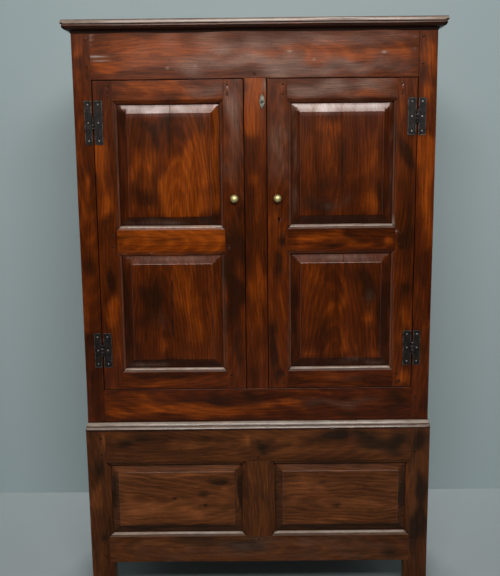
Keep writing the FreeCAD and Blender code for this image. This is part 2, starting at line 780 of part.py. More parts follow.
def nail(face, a, z, depth, node, through):
    """A hand-made nail, its head standing on the face at that depth, and its hole."""
    head = dome(nail_head_radius, nail_head_height, face.at(a, depth, z), face.depth * -1)
    keep(node, head.fuse(face.drilled(a, z, depth, depth + nail_shank_length, nail_shank_radius)))
    hole = face.drilled(a, z, depth - cut_overrun, depth + nail_shank_length + joint_clearance,
                        nail_shank_radius + nail_clearance)
    for wood in through:
        holes.setdefault(wood, []).append(hole)


def hinges(name, side):
    """The two H hinges of a door: a leaf on the stile, a leaf on the door, a pin and the nails."""
    face = upper_front()
    long_or_short = hinge_long_height if side == LEFT else hinge_short_height
    places = [(door_top - hinge_upper_drop - long_or_short / 2, long_or_short),
              (door_bottom + hinge_lower_rise + hinge_short_height / 2, hinge_short_height)]
    axis = side * hinge_x
    for middle, height in places:
        frame_leaf = hinge_leaf(face, axis, side, hinge_frame_leaf_width, middle, height)
        door_leaf = hinge_leaf(face, axis, -side, hinge_door_leaf_width, middle, height)
        knuckle_half = hinge_knuckle_length / 2
        middle_knuckle = knuckle(face, axis, -side, middle - knuckle_half, middle + knuckle_half)
        outer_start, outer_end = knuckle_half + hinge_knuckle_gap, knuckle_half + hinge_knuckle_length
        lower = knuckle(face, axis, side, middle - outer_end, middle - outer_start)
        upper = knuckle(face, axis, side, middle + outer_start, middle + outer_end)
        pin_foot = face.at(axis, hinge_pin_depth, middle - outer_end)
        pin = Part.makeCylinder(hinge_pin_radius, 2 * outer_end, pin_foot, Z)
        bore = Part.makeCylinder(hinge_pin_radius + hinge_pin_clearance, 2 * outer_end, pin_foot, Z)
        keep("frame_hinge_leaves", frame_leaf.fuse([lower, upper]).removeSplitter().cut(bore))
        keep("%s_door_hinge_leaves" % name, door_leaf.fuse(middle_knuckle).removeSplitter().cut(bore))
        head_radius = hinge_pin_radius + hinge_pin_head / 2
        heads = [dome(head_radius, hinge_pin_head, face.at(axis, hinge_pin_depth, z), up)
                 for z, up in ((middle + outer_end, Z), (middle - outer_end, Z * -1))]
        keep("hinge_pins", pin.fuse(heads))

        top = height / 2 - nail_end_inset
        for rise in (-top, 0, top):
            leaf_middle = hinge_leaf_edge + hinge_frame_leaf_width / 2
            nail(face, axis + side * leaf_middle, middle + rise, -hinge_leaf_thickness, "frame_hinge_nails",
                 ["frame_hinge_leaves", "upper_%s_front_stile" % name])
            leaf_middle = hinge_leaf_edge + hinge_door_leaf_width / 2
            nail(face, axis - side * leaf_middle, middle + rise, -hinge_leaf_thickness,
                 "%s_door_hinge_nails" % name,
                 ["%s_door_hinge_leaves" % name, "%s_door_hinge_stile" % name])


def hinge_leaf(face, axis, side, width, middle, height):
    """The upright plate of one leaf, on that side of the pin, with its front edges filed off."""
    near, far = axis + side * hinge_leaf_edge, axis + side * (hinge_leaf_edge + width)
    plate = face.block(near, far, -hinge_leaf_thickness, 0, middle - height / 2, middle + height / 2)
    front = [edge for edge in plate.Edges
             if all(abs(vertex.Y - face.origin.y + hinge_leaf_thickness) < arris / 2
                    for vertex in edge.Vertexes)]
    return plate.makeChamfer(arris, front)


def knuckle(face, axis, side, z0, z1):
    """One round of the hinge's barrel, with the tongue that joins it to its leaf."""
    barrel = Part.makeCylinder(hinge_knuckle_radius, z1 - z0, face.at(axis, hinge_pin_depth, z0), Z)
    tongue = face.block(axis, axis + side * (hinge_leaf_edge + arris), hinge_pin_depth + hinge_pin_radius,
                        -hinge_face_gap, z0, z1)
    return barrel.fuse(tongue)


def knob(face, a, lift):
    """A round brass knob on a short neck, its flange that far off the face."""
    flange = face.drilled(a, knob_height, -lift - knob_flange_thickness, -lift, knob_flange_radius)
    neck_start = lift + knob_flange_thickness
    ball_centre = neck_start + knob_neck_length + knob_radius
    neck = face.drilled(a, knob_height, -ball_centre, -neck_start, knob_neck_radius)
    ball = Part.makeSphere(knob_radius, face.at(a, -ball_centre, knob_height))
    return flange.fuse([neck, ball])


def left_latch():
    """The left knob with its spindle, and the tongue that turns behind the centre muntin."""
    face = upper_front()
    a = -(door_inner + knob_inset)
    z = knob_height
    tongue_front = max(door_thickness + running_gap, upper_rail_thickness + latch_muntin_gap)
    tongue_back = tongue_front + latch_thickness
    spindle = face.drilled(a, z, -running_gap - knob_flange_thickness, tongue_back, spindle_radius)
    keep("left_knob", knob(face, a, running_gap).fuse(spindle))
    hub = face.drilled(a, z, door_thickness + running_gap, tongue_back, latch_hub_radius)
    half = latch_width / 2
    bar = face.block(a - half, a + half, tongue_front, tongue_back, z - latch_reach, z)
    tongue = hub.fuse(bar).removeSplitter()
    keep("left_latch_tongue", tongue.cut(face.drilled(a, z, 0, tongue_back, spindle_radius)))
    bore = face.drilled(a, z, -cut_overrun, door_thickness + cut_overrun,
                        spindle_radius + spindle_clearance)
    holes.setdefault("left_door_meeting_stile", []).append(bore)


def right_knob():
    """The fixed knob of the right door, on its screw."""
    face = upper_front()
    a = door_inner + knob_inset
    screw = face.drilled(a, knob_height, -knob_flange_thickness, knob_screw_length, knob_screw_radius)
    keep("right_knob", knob(face, a, 0).fuse(screw))
    hole = face.drilled(a, knob_height, -cut_overrun, knob_screw_length + joint_clearance,
                        knob_screw_radius + peg_clearance)
    holes.setdefault("right_door_meeting_stile", []).append(hole)


def keyhole(face, d0, d1):
    """The keyhole's round head and slot, between two depths."""
    a = door_inner + keyhole_inset
    slot = face.block(a - keyhole_slot_width / 2, a + keyhole_slot_width / 2, d0, d1,
                      keyhole_height - keyhole_slot_length, keyhole_height)
    return face.drilled(a, keyhole_height, d0, d1, keyhole_radius).fuse(slot)


def lock():
    """The iron lock on the inside of the right door, and its bolt, drawn back."""
    face = upper_front()
    a0 = door_inner + lock_case_edge
    a1 = a0 + lock_case_width
    z0 = keyhole_height - lock_case_height * lock_case_rise_share
    z1 = z0 + lock_case_height
    w = lock_case_wall
    front, back = door_thickness, door_thickness + lock_case_depth
    case = face.block(a0, a1, front, back, z0, z1)
    bolt_back = back - w - running_gap
    bolt_front = bolt_back - bolt_thickness
    bolt_z0 = keyhole_height + bolt_rise
    bolt_z1 = bolt_z0 + bolt_height
    channel = face.block(a0 - cut_overrun, a0 + bolt_length + 2 * w, bolt_front - running_gap,
                         bolt_back + running_gap, bolt_z0 - running_gap, bolt_z1 + running_gap)
    chamber = face.block(a0 + w, a1 - w, front + w, back - w, z0 + w, bolt_z0 - w)
    case = case.cut([channel, chamber, keyhole(face, front - cut_overrun, front + 2 * w)])
    keep("lock_case", case)
    keep("lock_bolt", face.block(a0, a0 + bolt_length, bolt_front, bolt_back, bolt_z0, bolt_z1))
    holes.setdefault("right_door_meeting_stile", []).append(
        keyhole(face, -cut_overrun, door_thickness + cut_overrun))


def turn_button():
    """The turn button on the centre muntin, upright and so clear of the door, and its screw."""
    face = upper_front()
    a = muntin_half - button_pivot_inset
    z = button_height
    back = -running_gap
    front = back - button_thickness

    def at(across, up):
        return face.at(a + across, back, z + up)

    tips = [at(0, button_half_length), at(0, -button_half_length)]
    leaf = section_wire([Part.Arc(tips[0], at(button_half_width, 0), tips[1]),
                         Part.Arc(tips[1], at(-button_half_width, 0), tips[0])])
    leaf = leaf.extrude(Y * -button_thickness)
    tip = button_half_length - button_tip_radius
    ends = [face.drilled(a, z + up * tip, front, back, button_tip_radius) for up in (-1, 1)]
    boss = face.drilled(a, z, front - button_boss_height, back, button_boss_radius)
    bore = face.drilled(a, z, front - button_boss_height, back, button_screw_radius + spindle_clearance)
    keep("turn_button", leaf.fuse(ends + [boss]).removeSplitter().cut(bore))

    head_base = front - button_boss_height - running_gap
    shank = face.drilled(a, z, head_base, button_screw_length, button_screw_radius)
    head = dome(button_screw_head_radius, button_screw_head_height, face.at(a, head_base, z), Y * -1)
    keep("turn_button_screw", head.fuse(shank))
    hole = face.drilled(a, z, -cut_overrun, button_screw_length + joint_clearance,
                        button_screw_radius + peg_clearance)
    holes.setdefault("centre_muntin", []).append(hole)


def build():
    """Makes every piece, then drills and writes them."""
    front_mortises = upper_front_frame()
    upper_edges, side_mortises = upper_sides()
    back_mortises = back_frame()
    upper_stiles(front_mortises + side_mortises + back_mortises, upper_edges)
    base_front_mortises, base_front_edges = base_front_frame()
    base_edges, base_side_mortises = base_sides()
    base_legs(base_front_mortises + base_side_mortises + back_mortises, base_edges, base_front_edges)
    floor_boards()
    back_boards()
    top_boards()
    cornice()
    waist_moulding()
    hanging_rail()
    for name, side in SIDES.items():
        door(name, side)
        hinges(name, side)
    left_latch()
    right_knob()
    lock()
    turn_button()
    for node, cuts in holes.items():
        cut_from(node, cuts)


build()
os.makedirs("parts", exist_ok=True)
for node, solids in pieces.items():
    shape = solids[0] if len(solids) == 1 else Part.makeCompound(solids)
    shape.exportStep("parts/%s.step" % node)
    solid_count = len(shape.Solids)
    print("%-28s %3d solids, volume %.0f, valid %s" % (node, solid_count, shape.Volume, shape.isValid()))
print(len(pieces), "nodes")
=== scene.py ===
"""Dresses a joined press of two stages in old polished timber, forged iron and brass, in a plain studio.

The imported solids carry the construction. Each board, moulding, peg, nail and fitting gets its worked form
here: eased edges, the waves of hand planing, hammered iron, turned brass, and a finish made of nodes.
"""

import json
import logging
import math
from dataclasses import dataclass, replace
from enum import Enum
from typing import Callable, ClassVar, Mapping, Optional, Sequence, Union

import bmesh
import bpy
import numpy as np
from mathutils import Matrix, Vector

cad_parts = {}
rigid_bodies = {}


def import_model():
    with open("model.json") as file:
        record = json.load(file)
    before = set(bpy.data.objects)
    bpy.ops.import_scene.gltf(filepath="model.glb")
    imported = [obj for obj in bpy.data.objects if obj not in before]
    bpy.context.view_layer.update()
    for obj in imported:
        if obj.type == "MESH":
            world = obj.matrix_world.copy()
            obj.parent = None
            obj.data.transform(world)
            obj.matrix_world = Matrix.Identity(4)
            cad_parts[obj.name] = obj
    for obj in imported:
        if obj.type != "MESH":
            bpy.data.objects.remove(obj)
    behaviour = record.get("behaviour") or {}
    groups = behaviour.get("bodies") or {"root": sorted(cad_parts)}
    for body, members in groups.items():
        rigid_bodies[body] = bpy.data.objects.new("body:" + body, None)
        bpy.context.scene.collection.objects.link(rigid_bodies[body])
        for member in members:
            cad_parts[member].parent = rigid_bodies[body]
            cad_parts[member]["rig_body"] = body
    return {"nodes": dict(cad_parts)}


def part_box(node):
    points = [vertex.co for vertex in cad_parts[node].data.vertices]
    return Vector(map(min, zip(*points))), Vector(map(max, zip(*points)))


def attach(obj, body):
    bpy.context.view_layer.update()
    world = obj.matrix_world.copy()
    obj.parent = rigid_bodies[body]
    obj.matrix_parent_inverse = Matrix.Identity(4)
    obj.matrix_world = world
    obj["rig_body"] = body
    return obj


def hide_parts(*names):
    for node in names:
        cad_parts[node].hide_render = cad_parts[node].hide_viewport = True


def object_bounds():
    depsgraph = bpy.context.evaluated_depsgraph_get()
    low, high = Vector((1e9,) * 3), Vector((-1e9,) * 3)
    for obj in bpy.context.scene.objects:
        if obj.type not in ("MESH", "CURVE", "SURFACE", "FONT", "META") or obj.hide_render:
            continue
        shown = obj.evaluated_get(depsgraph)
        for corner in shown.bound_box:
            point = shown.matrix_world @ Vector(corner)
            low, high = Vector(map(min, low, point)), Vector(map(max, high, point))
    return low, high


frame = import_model()
CAD_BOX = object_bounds()

LOG = logging.getLogger("press")
Socket = bpy.types.NodeSocket
Value = Union[float, Sequence[float], Socket]
Colour = tuple[float, float, float]
Point = tuple[float, float, float]

FRONT_Y = -0.236
BASE_FRONT_Y = -0.254
UPPER_HALF = 0.600
BASE_TOP = 0.636
MILLIMETRE = 0.001
LEVEL = 1e-4
OUTWARD = Vector((0.0, -1.0, 0.0))


class Axis(Enum):
    """A direction of the frame, as an index into a point."""

    X = 0
    Y = 1
    Z = 2


class Slot(Enum):
    """The finishes that the record names."""

    CARCASS = "carcass_oak"
    DOOR = "door_oak"
    DOOR_PANEL = "door_panel_oak"
    BASE = "base_oak"
    BASE_PANEL = "base_panel_oak"
    MOULDING = "moulding_oak"
    PEG = "peg_oak"
    BACKING = "backing_oak"
    INSIDE = "inside_oak"
    IRON = "black_iron"
    NAIL = "nail_iron"
    BUTTON = "button_iron"
    BRASS = "brass"


class Tint(Enum):
    """What a mark does to the colour under it. Glow marks are livelier wood and pale ones wear; shade marks
    are darker wood and also painted shade on bevels and under mouldings; bloom marks are a painted sheen,
    grey reflection haze and brighter top bevels, with some bloom of the polish.
    """

    GLOW = "glow"
    SHADE = "shade"
    BLOOM = "bloom_and_sheen"
    PALE = "pale"


class WearAndPaintedLight(Enum):
    """What a band along a moulding carries: a pale strip for wear and a painted highlight, or a dark strip
    for dirt and painted shade.
    """

    WORN_AND_HIGHLIT = "worn"
    SOIL_AND_SHADE = "soil"


# Node trees


class Wiring:
    """Adds nodes to one node tree and links them."""

    def __init__(self, tree: bpy.types.NodeTree) -> None:
        """Takes the node tree to work on: a material's, a world's or a group's."""
        self.tree = tree

    def feed(self, socket: Socket, value: Value) -> None:
        """Links a socket, or sets its own value.

        Args:
            socket: The input to feed.
            value: Another node's output, a number, a vector or a colour.
        """
        if isinstance(value, bpy.types.NodeSocket):
            self.tree.links.new(value, socket)
        elif socket.type == "RGBA":
            socket.default_value = (*value[:3], 1.0)
        else:
            socket.default_value = value

    def add(self, kind: str, inputs: Optional[Mapping[Union[str, int], Value]] = None,
            **settings) -> bpy.types.Node:
        """Adds one node.

        Args:
            kind: The node's Blender type.
            inputs: Values for its inputs, by name or place.
            settings: The node's own properties.

        Returns:
            The node.
        """
        node = self.tree.nodes.new(kind)
        for name, value in settings.items():
            setattr(node, name, value)
        for name, value in (inputs or {}).items():
            self.feed(node.inputs[name], value)
        return node

    def math(self, operation: str, a: Value, b: Value = 0.0, clamp: bool = False) -> Socket:
        """Does one sum, by Blender's name of it, and may clamp its result between 0 and 1."""
        return self.add("ShaderNodeMath", {0: a, 1: b}, operation=operation, use_clamp=clamp).outputs[0]

    def times(self, a: Value, b: Value, clamp: bool = False) -> Socket:
        """Multiplies two numbers."""
        return self.math("MULTIPLY", a, b, clamp)

    def plus(self, a: Value, b: Value) -> Socket:
        """Adds two numbers."""
        return self.math("ADD", a, b)

    def minus(self, a: Value, b: Value, clamp: bool = False) -> Socket:
        """Takes the second number from the first."""
        return self.math("SUBTRACT", a, b, clamp)

    def total(self, *values: Value) -> Socket:
        """Adds numbers up, kept between 0 and 1.

        Args:
            values: The numbers.

        Returns:
            Their total.
        """
        result = values[0]
        for value in values[1:]:
            result = self.plus(result, value)
        return self.math("MAXIMUM", self.math("MINIMUM", result, 1.0), 0.0)

    def scaled(self, vector: Value, by: Value) -> Socket:
        """Multiplies a vector, part by part."""
        return self.add("ShaderNodeVectorMath", {0: vector, 1: by}, operation="MULTIPLY").outputs[0]

    def shifted(self, vector: Value, by: Value) -> Socket:
        """Adds two vectors."""
        return self.add("ShaderNodeVectorMath", {0: vector, 1: by}, operation="ADD").outputs[0]

    def blend(self, amount: Value, a: Value, b: Value, kind: str = "MIX") -> Socket:
        """Mixes two colours by an amount of the second, with Blender's name of the blend."""
        node = self.add("ShaderNodeMix", {0: amount, 6: a, 7: b}, data_type="RGBA", blend_type=kind)
        return node.outputs[2]

    def step(self, value: Value, low: float, high: float, start: float = 0.0, end: float = 1.0) -> Socket:
        """Rises smoothly from start to end as a value goes from low to high."""
        inputs = {"Value": value, "From Min": low, "From Max": high, "To Min": start, "To Max": end}
        return self.add("ShaderNodeMapRange", inputs, interpolation_type="SMOOTHSTEP").outputs[0]

    def noise(self, vector: Value, seed: Value, detail: float = 2.0, roughness: float = 0.5,
              distortion: float = 0.0, colour: bool = False) -> Socket:
        """A cloudy noise over a vector.

        Args:
            vector: Where to read it.
            seed: A number that picks one cloud of many.
            detail: How many finer layers it has.
            roughness: How strong those are.
            distortion: How far it swirls.
            colour: Whether to give three noises as a colour.

        Returns:
            The noise, 0 to 1.
        """
        inputs = {"Vector": vector, "W": seed, "Scale": 1.0, "Detail": detail, "Roughness": roughness,
                  "Distortion": distortion}
        node = self.add("ShaderNodeTexNoise", inputs, noise_dimensions="4D")
        return node.outputs["Color" if colour else "Fac"]

    def place(self) -> Socket:
        """Gives the place on the piece."""
        return self.add("ShaderNodeTexCoord").outputs["Object"]

    def bump(self, height: Value) -> Socket:
        """Tilts the surface by a height in millimetres."""
        inputs = {"Height": height, "Strength": 1.0, "Distance": MILLIMETRE}
        return self.add("ShaderNodeBump", inputs).outputs[0]

    def attribute(self, name: str, vector: bool = False) -> Socket:
        """Reads what a mesh carries under that name."""
        node = self.add("ShaderNodeAttribute", attribute_name=name)
        return node.outputs["Vector" if vector else "Fac"]


@dataclass(frozen=True)
class Terminal:
    """One input or output of a shared effect."""

    name: str
    kind: str = "NodeSocketFloat"
    default: Union[float, tuple] = 0.0


class Effect:
    """A shader effect that several finishes share: a node group, built once."""

    title: str = ""
    takes: tuple[Terminal, ...] = ()
    gives: tuple[Terminal, ...] = ()

    def wire(self, wiring: Wiring, take: Callable[[str], Socket]) -> dict[str, Socket]:
        """Builds the inside of the group and gives the sockets to put out, by name."""
        raise NotImplementedError

    def tree(self) -> bpy.types.NodeTree:
        """Gives the group's tree, which it builds the first time.

        Returns:
            The tree.
        """
        known = bpy.data.node_groups.get(self.title)
        if known is not None:
            return known
        tree = bpy.data.node_groups.new(self.title, "ShaderNodeTree")
        for terminals, side in ((self.takes, "INPUT"), (self.gives, "OUTPUT")):
            for terminal in terminals:
                socket = tree.interface.new_socket(name=terminal.name, in_out=side,
                                                   socket_type=terminal.kind)
                if side == "INPUT":
                    socket.default_value = terminal.default
        wiring = Wiring(tree)
        entry, end = wiring.add("NodeGroupInput"), wiring.add("NodeGroupOutput")
        for name, socket in self.wire(wiring, lambda name: entry.outputs[name]).items():
            tree.links.new(socket, end.inputs[name])
        return tree

    def put(self, wiring: Wiring, inputs: Mapping[str, Value]) -> Callable[[str], Socket]:
        """Puts the group in a material.

        Args:
            wiring: The material's tree.
            inputs: Values for the group's inputs.

        Returns:
            A function that gives the group's output of a name.
        """
        node = wiring.add("ShaderNodeGroup", node_tree=self.tree())
        for name, value in inputs.items():
            wiring.feed(node.inputs[name], value)
        return lambda name: node.outputs[name]


GRAIN = Terminal("Grain", "NodeSocketVector", (0.0, 0.0, 0.0))
PLACE = Terminal("Place", "NodeSocketVector", (0.0, 0.0, 0.0))
SEED = Terminal("Seed")


class TimberFigure(Effect):
    """Growth rings that run into pointed arches along a board, with streaks, fibres and pores."""

    title = "Timber figure"
    takes = (GRAIN, SEED, Terminal("Spacing", default=0.011), Terminal("Curl", default=1.0))
    gives = (Terminal("Rings"), Terminal("Streaks"), Terminal("Fibres"), Terminal("Pores"))
    wander_scale = (2.3, 8.0, 8.0)
    wander_reach = (0.0, 0.060, 0.030)
    pith_depth = 0.030
    pith_slope = 0.17
    streak_scale = (1.7, 30.0, 30.0)
    fibre_scale = (9.0, 330.0, 330.0)
    pore_scale = (70.0, 1100.0, 1100.0)

    def wire(self, wiring: Wiring, take: Callable[[str], Socket]) -> dict[str, Socket]:
        """Builds the inside of the group.

        Args:
            wiring: The group's own tree.
            take: Gives the group's input of a name.

        Returns:
            The sockets to put out, by name.
        """
        w, seed = wiring, take("Seed")
        wander = w.noise(w.scaled(take("Grain"), self.wander_scale), seed, 3.0, 0.55, colour=True)
        wander = w.scaled(w.shifted(wander, (-0.5, -0.5, -0.5)), self.wander_reach)
        curled = w.add("ShaderNodeVectorMath", {0: wander, "Scale": take("Curl")}, operation="SCALE")
        grain = w.shifted(take("Grain"), curled.outputs[0])
        parts = w.add("ShaderNodeSeparateXYZ", {0: grain}).outputs
        depth = w.plus(w.times(parts[0], self.pith_slope), self.pith_depth)
        depth = w.plus(depth, parts[2])
        radius = w.math("SQRT", w.plus(w.times(parts[1], parts[1]), w.times(depth, depth)))
        turn = w.times(w.math("DIVIDE", radius, take("Spacing")), 2 * math.pi)
        wave = w.plus(w.times(w.math("SINE", turn), 0.5), 0.5)
        return {
            "Rings": w.math("POWER", wave, 2.2),
            "Streaks": w.noise(w.scaled(grain, self.streak_scale), seed, 5.0, 0.55, 0.3),
            "Fibres": w.noise(w.scaled(grain, self.fibre_scale), seed, 3.0, 0.6),
            "Pores": w.step(w.noise(w.scaled(grain, self.pore_scale), seed, 1.0, 0.5), 0.60, 0.70),
        }


class PolishClouds(Effect):
    """Blotches that old polish takes on: broad clouds along the grain, and small ones."""

    title = "Polish clouds"
    takes = (GRAIN, SEED)
    gives = (Terminal("Broad"), Terminal("Small"), Terminal("Dark"))
    broad_scale = (5.5, 17.0, 17.0)
    small_scale = (22.0, 75.0, 75.0)
    dark_scale = (7.5, 21.0, 21.0)
    dark_seed = 17.3

    def wire(self, wiring: Wiring, take: Callable[[str], Socket]) -> dict[str, Socket]:
        """Builds the inside of the group.

        Args:
            wiring: The group's own tree.
            take: Gives the group's input of a name.

        Returns:
            The sockets to put out, by name.
        """
        w, grain, seed = wiring, take("Grain"), take("Seed")
        other = w.plus(seed, self.dark_seed)
        return {
            "Broad": w.step(w.noise(w.scaled(grain, self.broad_scale), seed, 4.0, 0.55, 0.5), 0.32, 0.74),
            "Small": w.noise(w.scaled(grain, self.small_scale), seed, 3.0, 0.6),
            "Dark": w.step(w.noise(w.scaled(grain, self.dark_scale), other, 4.0, 0.6, 0.8), 0.50, 0.78),
        }


class CreviceGrimeAndShade(Effect):
    """Darkens where surfaces meet: dirt and old wax there, and painted shade in corners, gaps and recesses.
    """

    title = "Crevice grime and shade"
    takes = (PLACE, Terminal("Reach", default=0.016), Terminal("Amount", default=1.0))
    gives = (Terminal("Mask"), Terminal("Open"))
    break_scale = (38.0, 38.0, 38.0)

    def wire(self, wiring: Wiring, take: Callable[[str], Socket]) -> dict[str, Socket]:
        """Builds the inside of the group.

        Args:
            wiring: The group's own tree.
            take: Gives the group's input of a name.

        Returns:
            The sockets to put out, by name.
        """
        w = wiring
        shelter = w.add("ShaderNodeAmbientOcclusion", {"Distance": take("Reach")}, samples=6).outputs["AO"]
        uneven = w.noise(w.scaled(take("Place"), self.break_scale), 3.0, 3.0, 0.6)
        closed = w.minus(1.0, shelter)
        closed = w.times(closed, w.plus(w.times(uneven, 0.6), 0.75))
        mask = w.times(w.step(closed, 0.16, 0.62), take("Amount"), clamp=True)
        return {"Mask": mask, "Open": shelter}


class EdgeRub(Effect):
    """Edges that hands and cloths have worn."""

    title = "Edge rub"
    takes = (PLACE, Terminal("Radius", default=0.002), Terminal("Open", default=1.0))
    gives = (Terminal("Mask"),)
    break_scale = (55.0, 55.0, 55.0)

    def wire(self, wiring: Wiring, take: Callable[[str], Socket]) -> dict[str, Socket]:
        """Builds the inside of the group.

        Args:
            wiring: The group's own tree.
            take: Gives the group's input of a name.

        Returns:
            The sockets to put out, by name.
        """
        w = wiring
        rounded = w.add("ShaderNodeBevel", {"Radius": take("Radius")}, samples=4).outputs[0]
        flat = w.add("ShaderNodeNewGeometry").outputs["Normal"]
        same = w.add("ShaderNodeVectorMath", {0: rounded, 1: flat}, operation="DOT_PRODUCT")
        edge = w.step(w.minus(1.0, same.outputs["Value"]), 0.015, 0.16)
        uneven = w.step(w.noise(w.scaled(take("Place"), self.break_scale), 8.0, 3.0, 0.6), 0.35, 0.62)
        bare = w.times(edge, w.step(take("Open"), 0.55, 0.95))
        return {"Mask": w.times(bare, uneven)}


class RestingDust(Effect):
    """A thin film of dust on what faces up."""

    title = "Resting dust"
    takes = (PLACE, Terminal("Amount", default=0.5))
    gives = (Terminal("Mask"),)
    break_scale = (16.0, 16.0, 16.0)

    def wire(self, wiring: Wiring, take: Callable[[str], Socket]) -> dict[str, Socket]:
        """Builds the inside of the group.

        Args:
            wiring: The group's own tree.
            take: Gives the group's input of a name.

        Returns:
            The sockets to put out, by name.
        """
        w = wiring
        normal = w.add("ShaderNodeNewGeometry").outputs["Normal"]
        up = w.add("ShaderNodeSeparateXYZ", {0: normal}).outputs[2]
        uneven = w.noise(w.scaled(take("Place"), self.break_scale), 5.0, 4.0, 0.65)
        film = w.times(w.step(up, 0.55, 0.95), w.step(uneven, 0.3, 0.7, 0.35, 1.0))
        return {"Mask": w.times(film, take("Amount"), clamp=True)}


class Relief(Effect):
    """Small heights, in shares of a millimetre: waves of the plane, dents and scratches."""

    title = "Surface relief"
    takes = (PLACE, SEED, Terminal("Wave", default=0.2), Terminal("Dents", default=0.1))
    gives = (Terminal("Height"),)
    wave_scale = (15.0, 15.0, 15.0)
    dent_scale = (60.0, 60.0, 60.0)

    def wire(self, wiring: Wiring, take: Callable[[str], Socket]) -> dict[str, Socket]:
        """Builds the inside of the group.

        Args:
            wiring: The group's own tree.
            take: Gives the group's input of a name.

        Returns:
            The sockets to put out, by name.
        """
        w, place, seed = wiring, take("Place"), take("Seed")
        wave = w.times(w.noise(w.scaled(place, self.wave_scale), seed, 2.0, 0.5), take("Wave"))
        dent = w.step(w.noise(w.scaled(place, self.dent_scale), seed, 2.0, 0.6), 0.56, 0.76)
        return {"Height": w.minus(wave, w.times(dent, take("Dents")))}


# Finishes


def new_material(slot: Slot, twin: str = "") -> tuple[bpy.types.Material, Wiring, bpy.types.Node]:
    """Makes an empty material with its shader.

    Args:
        slot: The finish it stands for.
        twin: A word that sets a second material of the same finish apart.

    Returns:
        The material, its wiring and its Principled BSDF.
    """
    material = bpy.data.materials.new(slot.value + twin)
    material.use_nodes = True
    material.node_tree.nodes.clear()
    wiring = Wiring(material.node_tree)
    shader = wiring.add("ShaderNodeBsdfPrincipled")
    wiring.add("ShaderNodeOutputMaterial", {"Surface": shader.outputs[0]})
    return material, wiring, shader


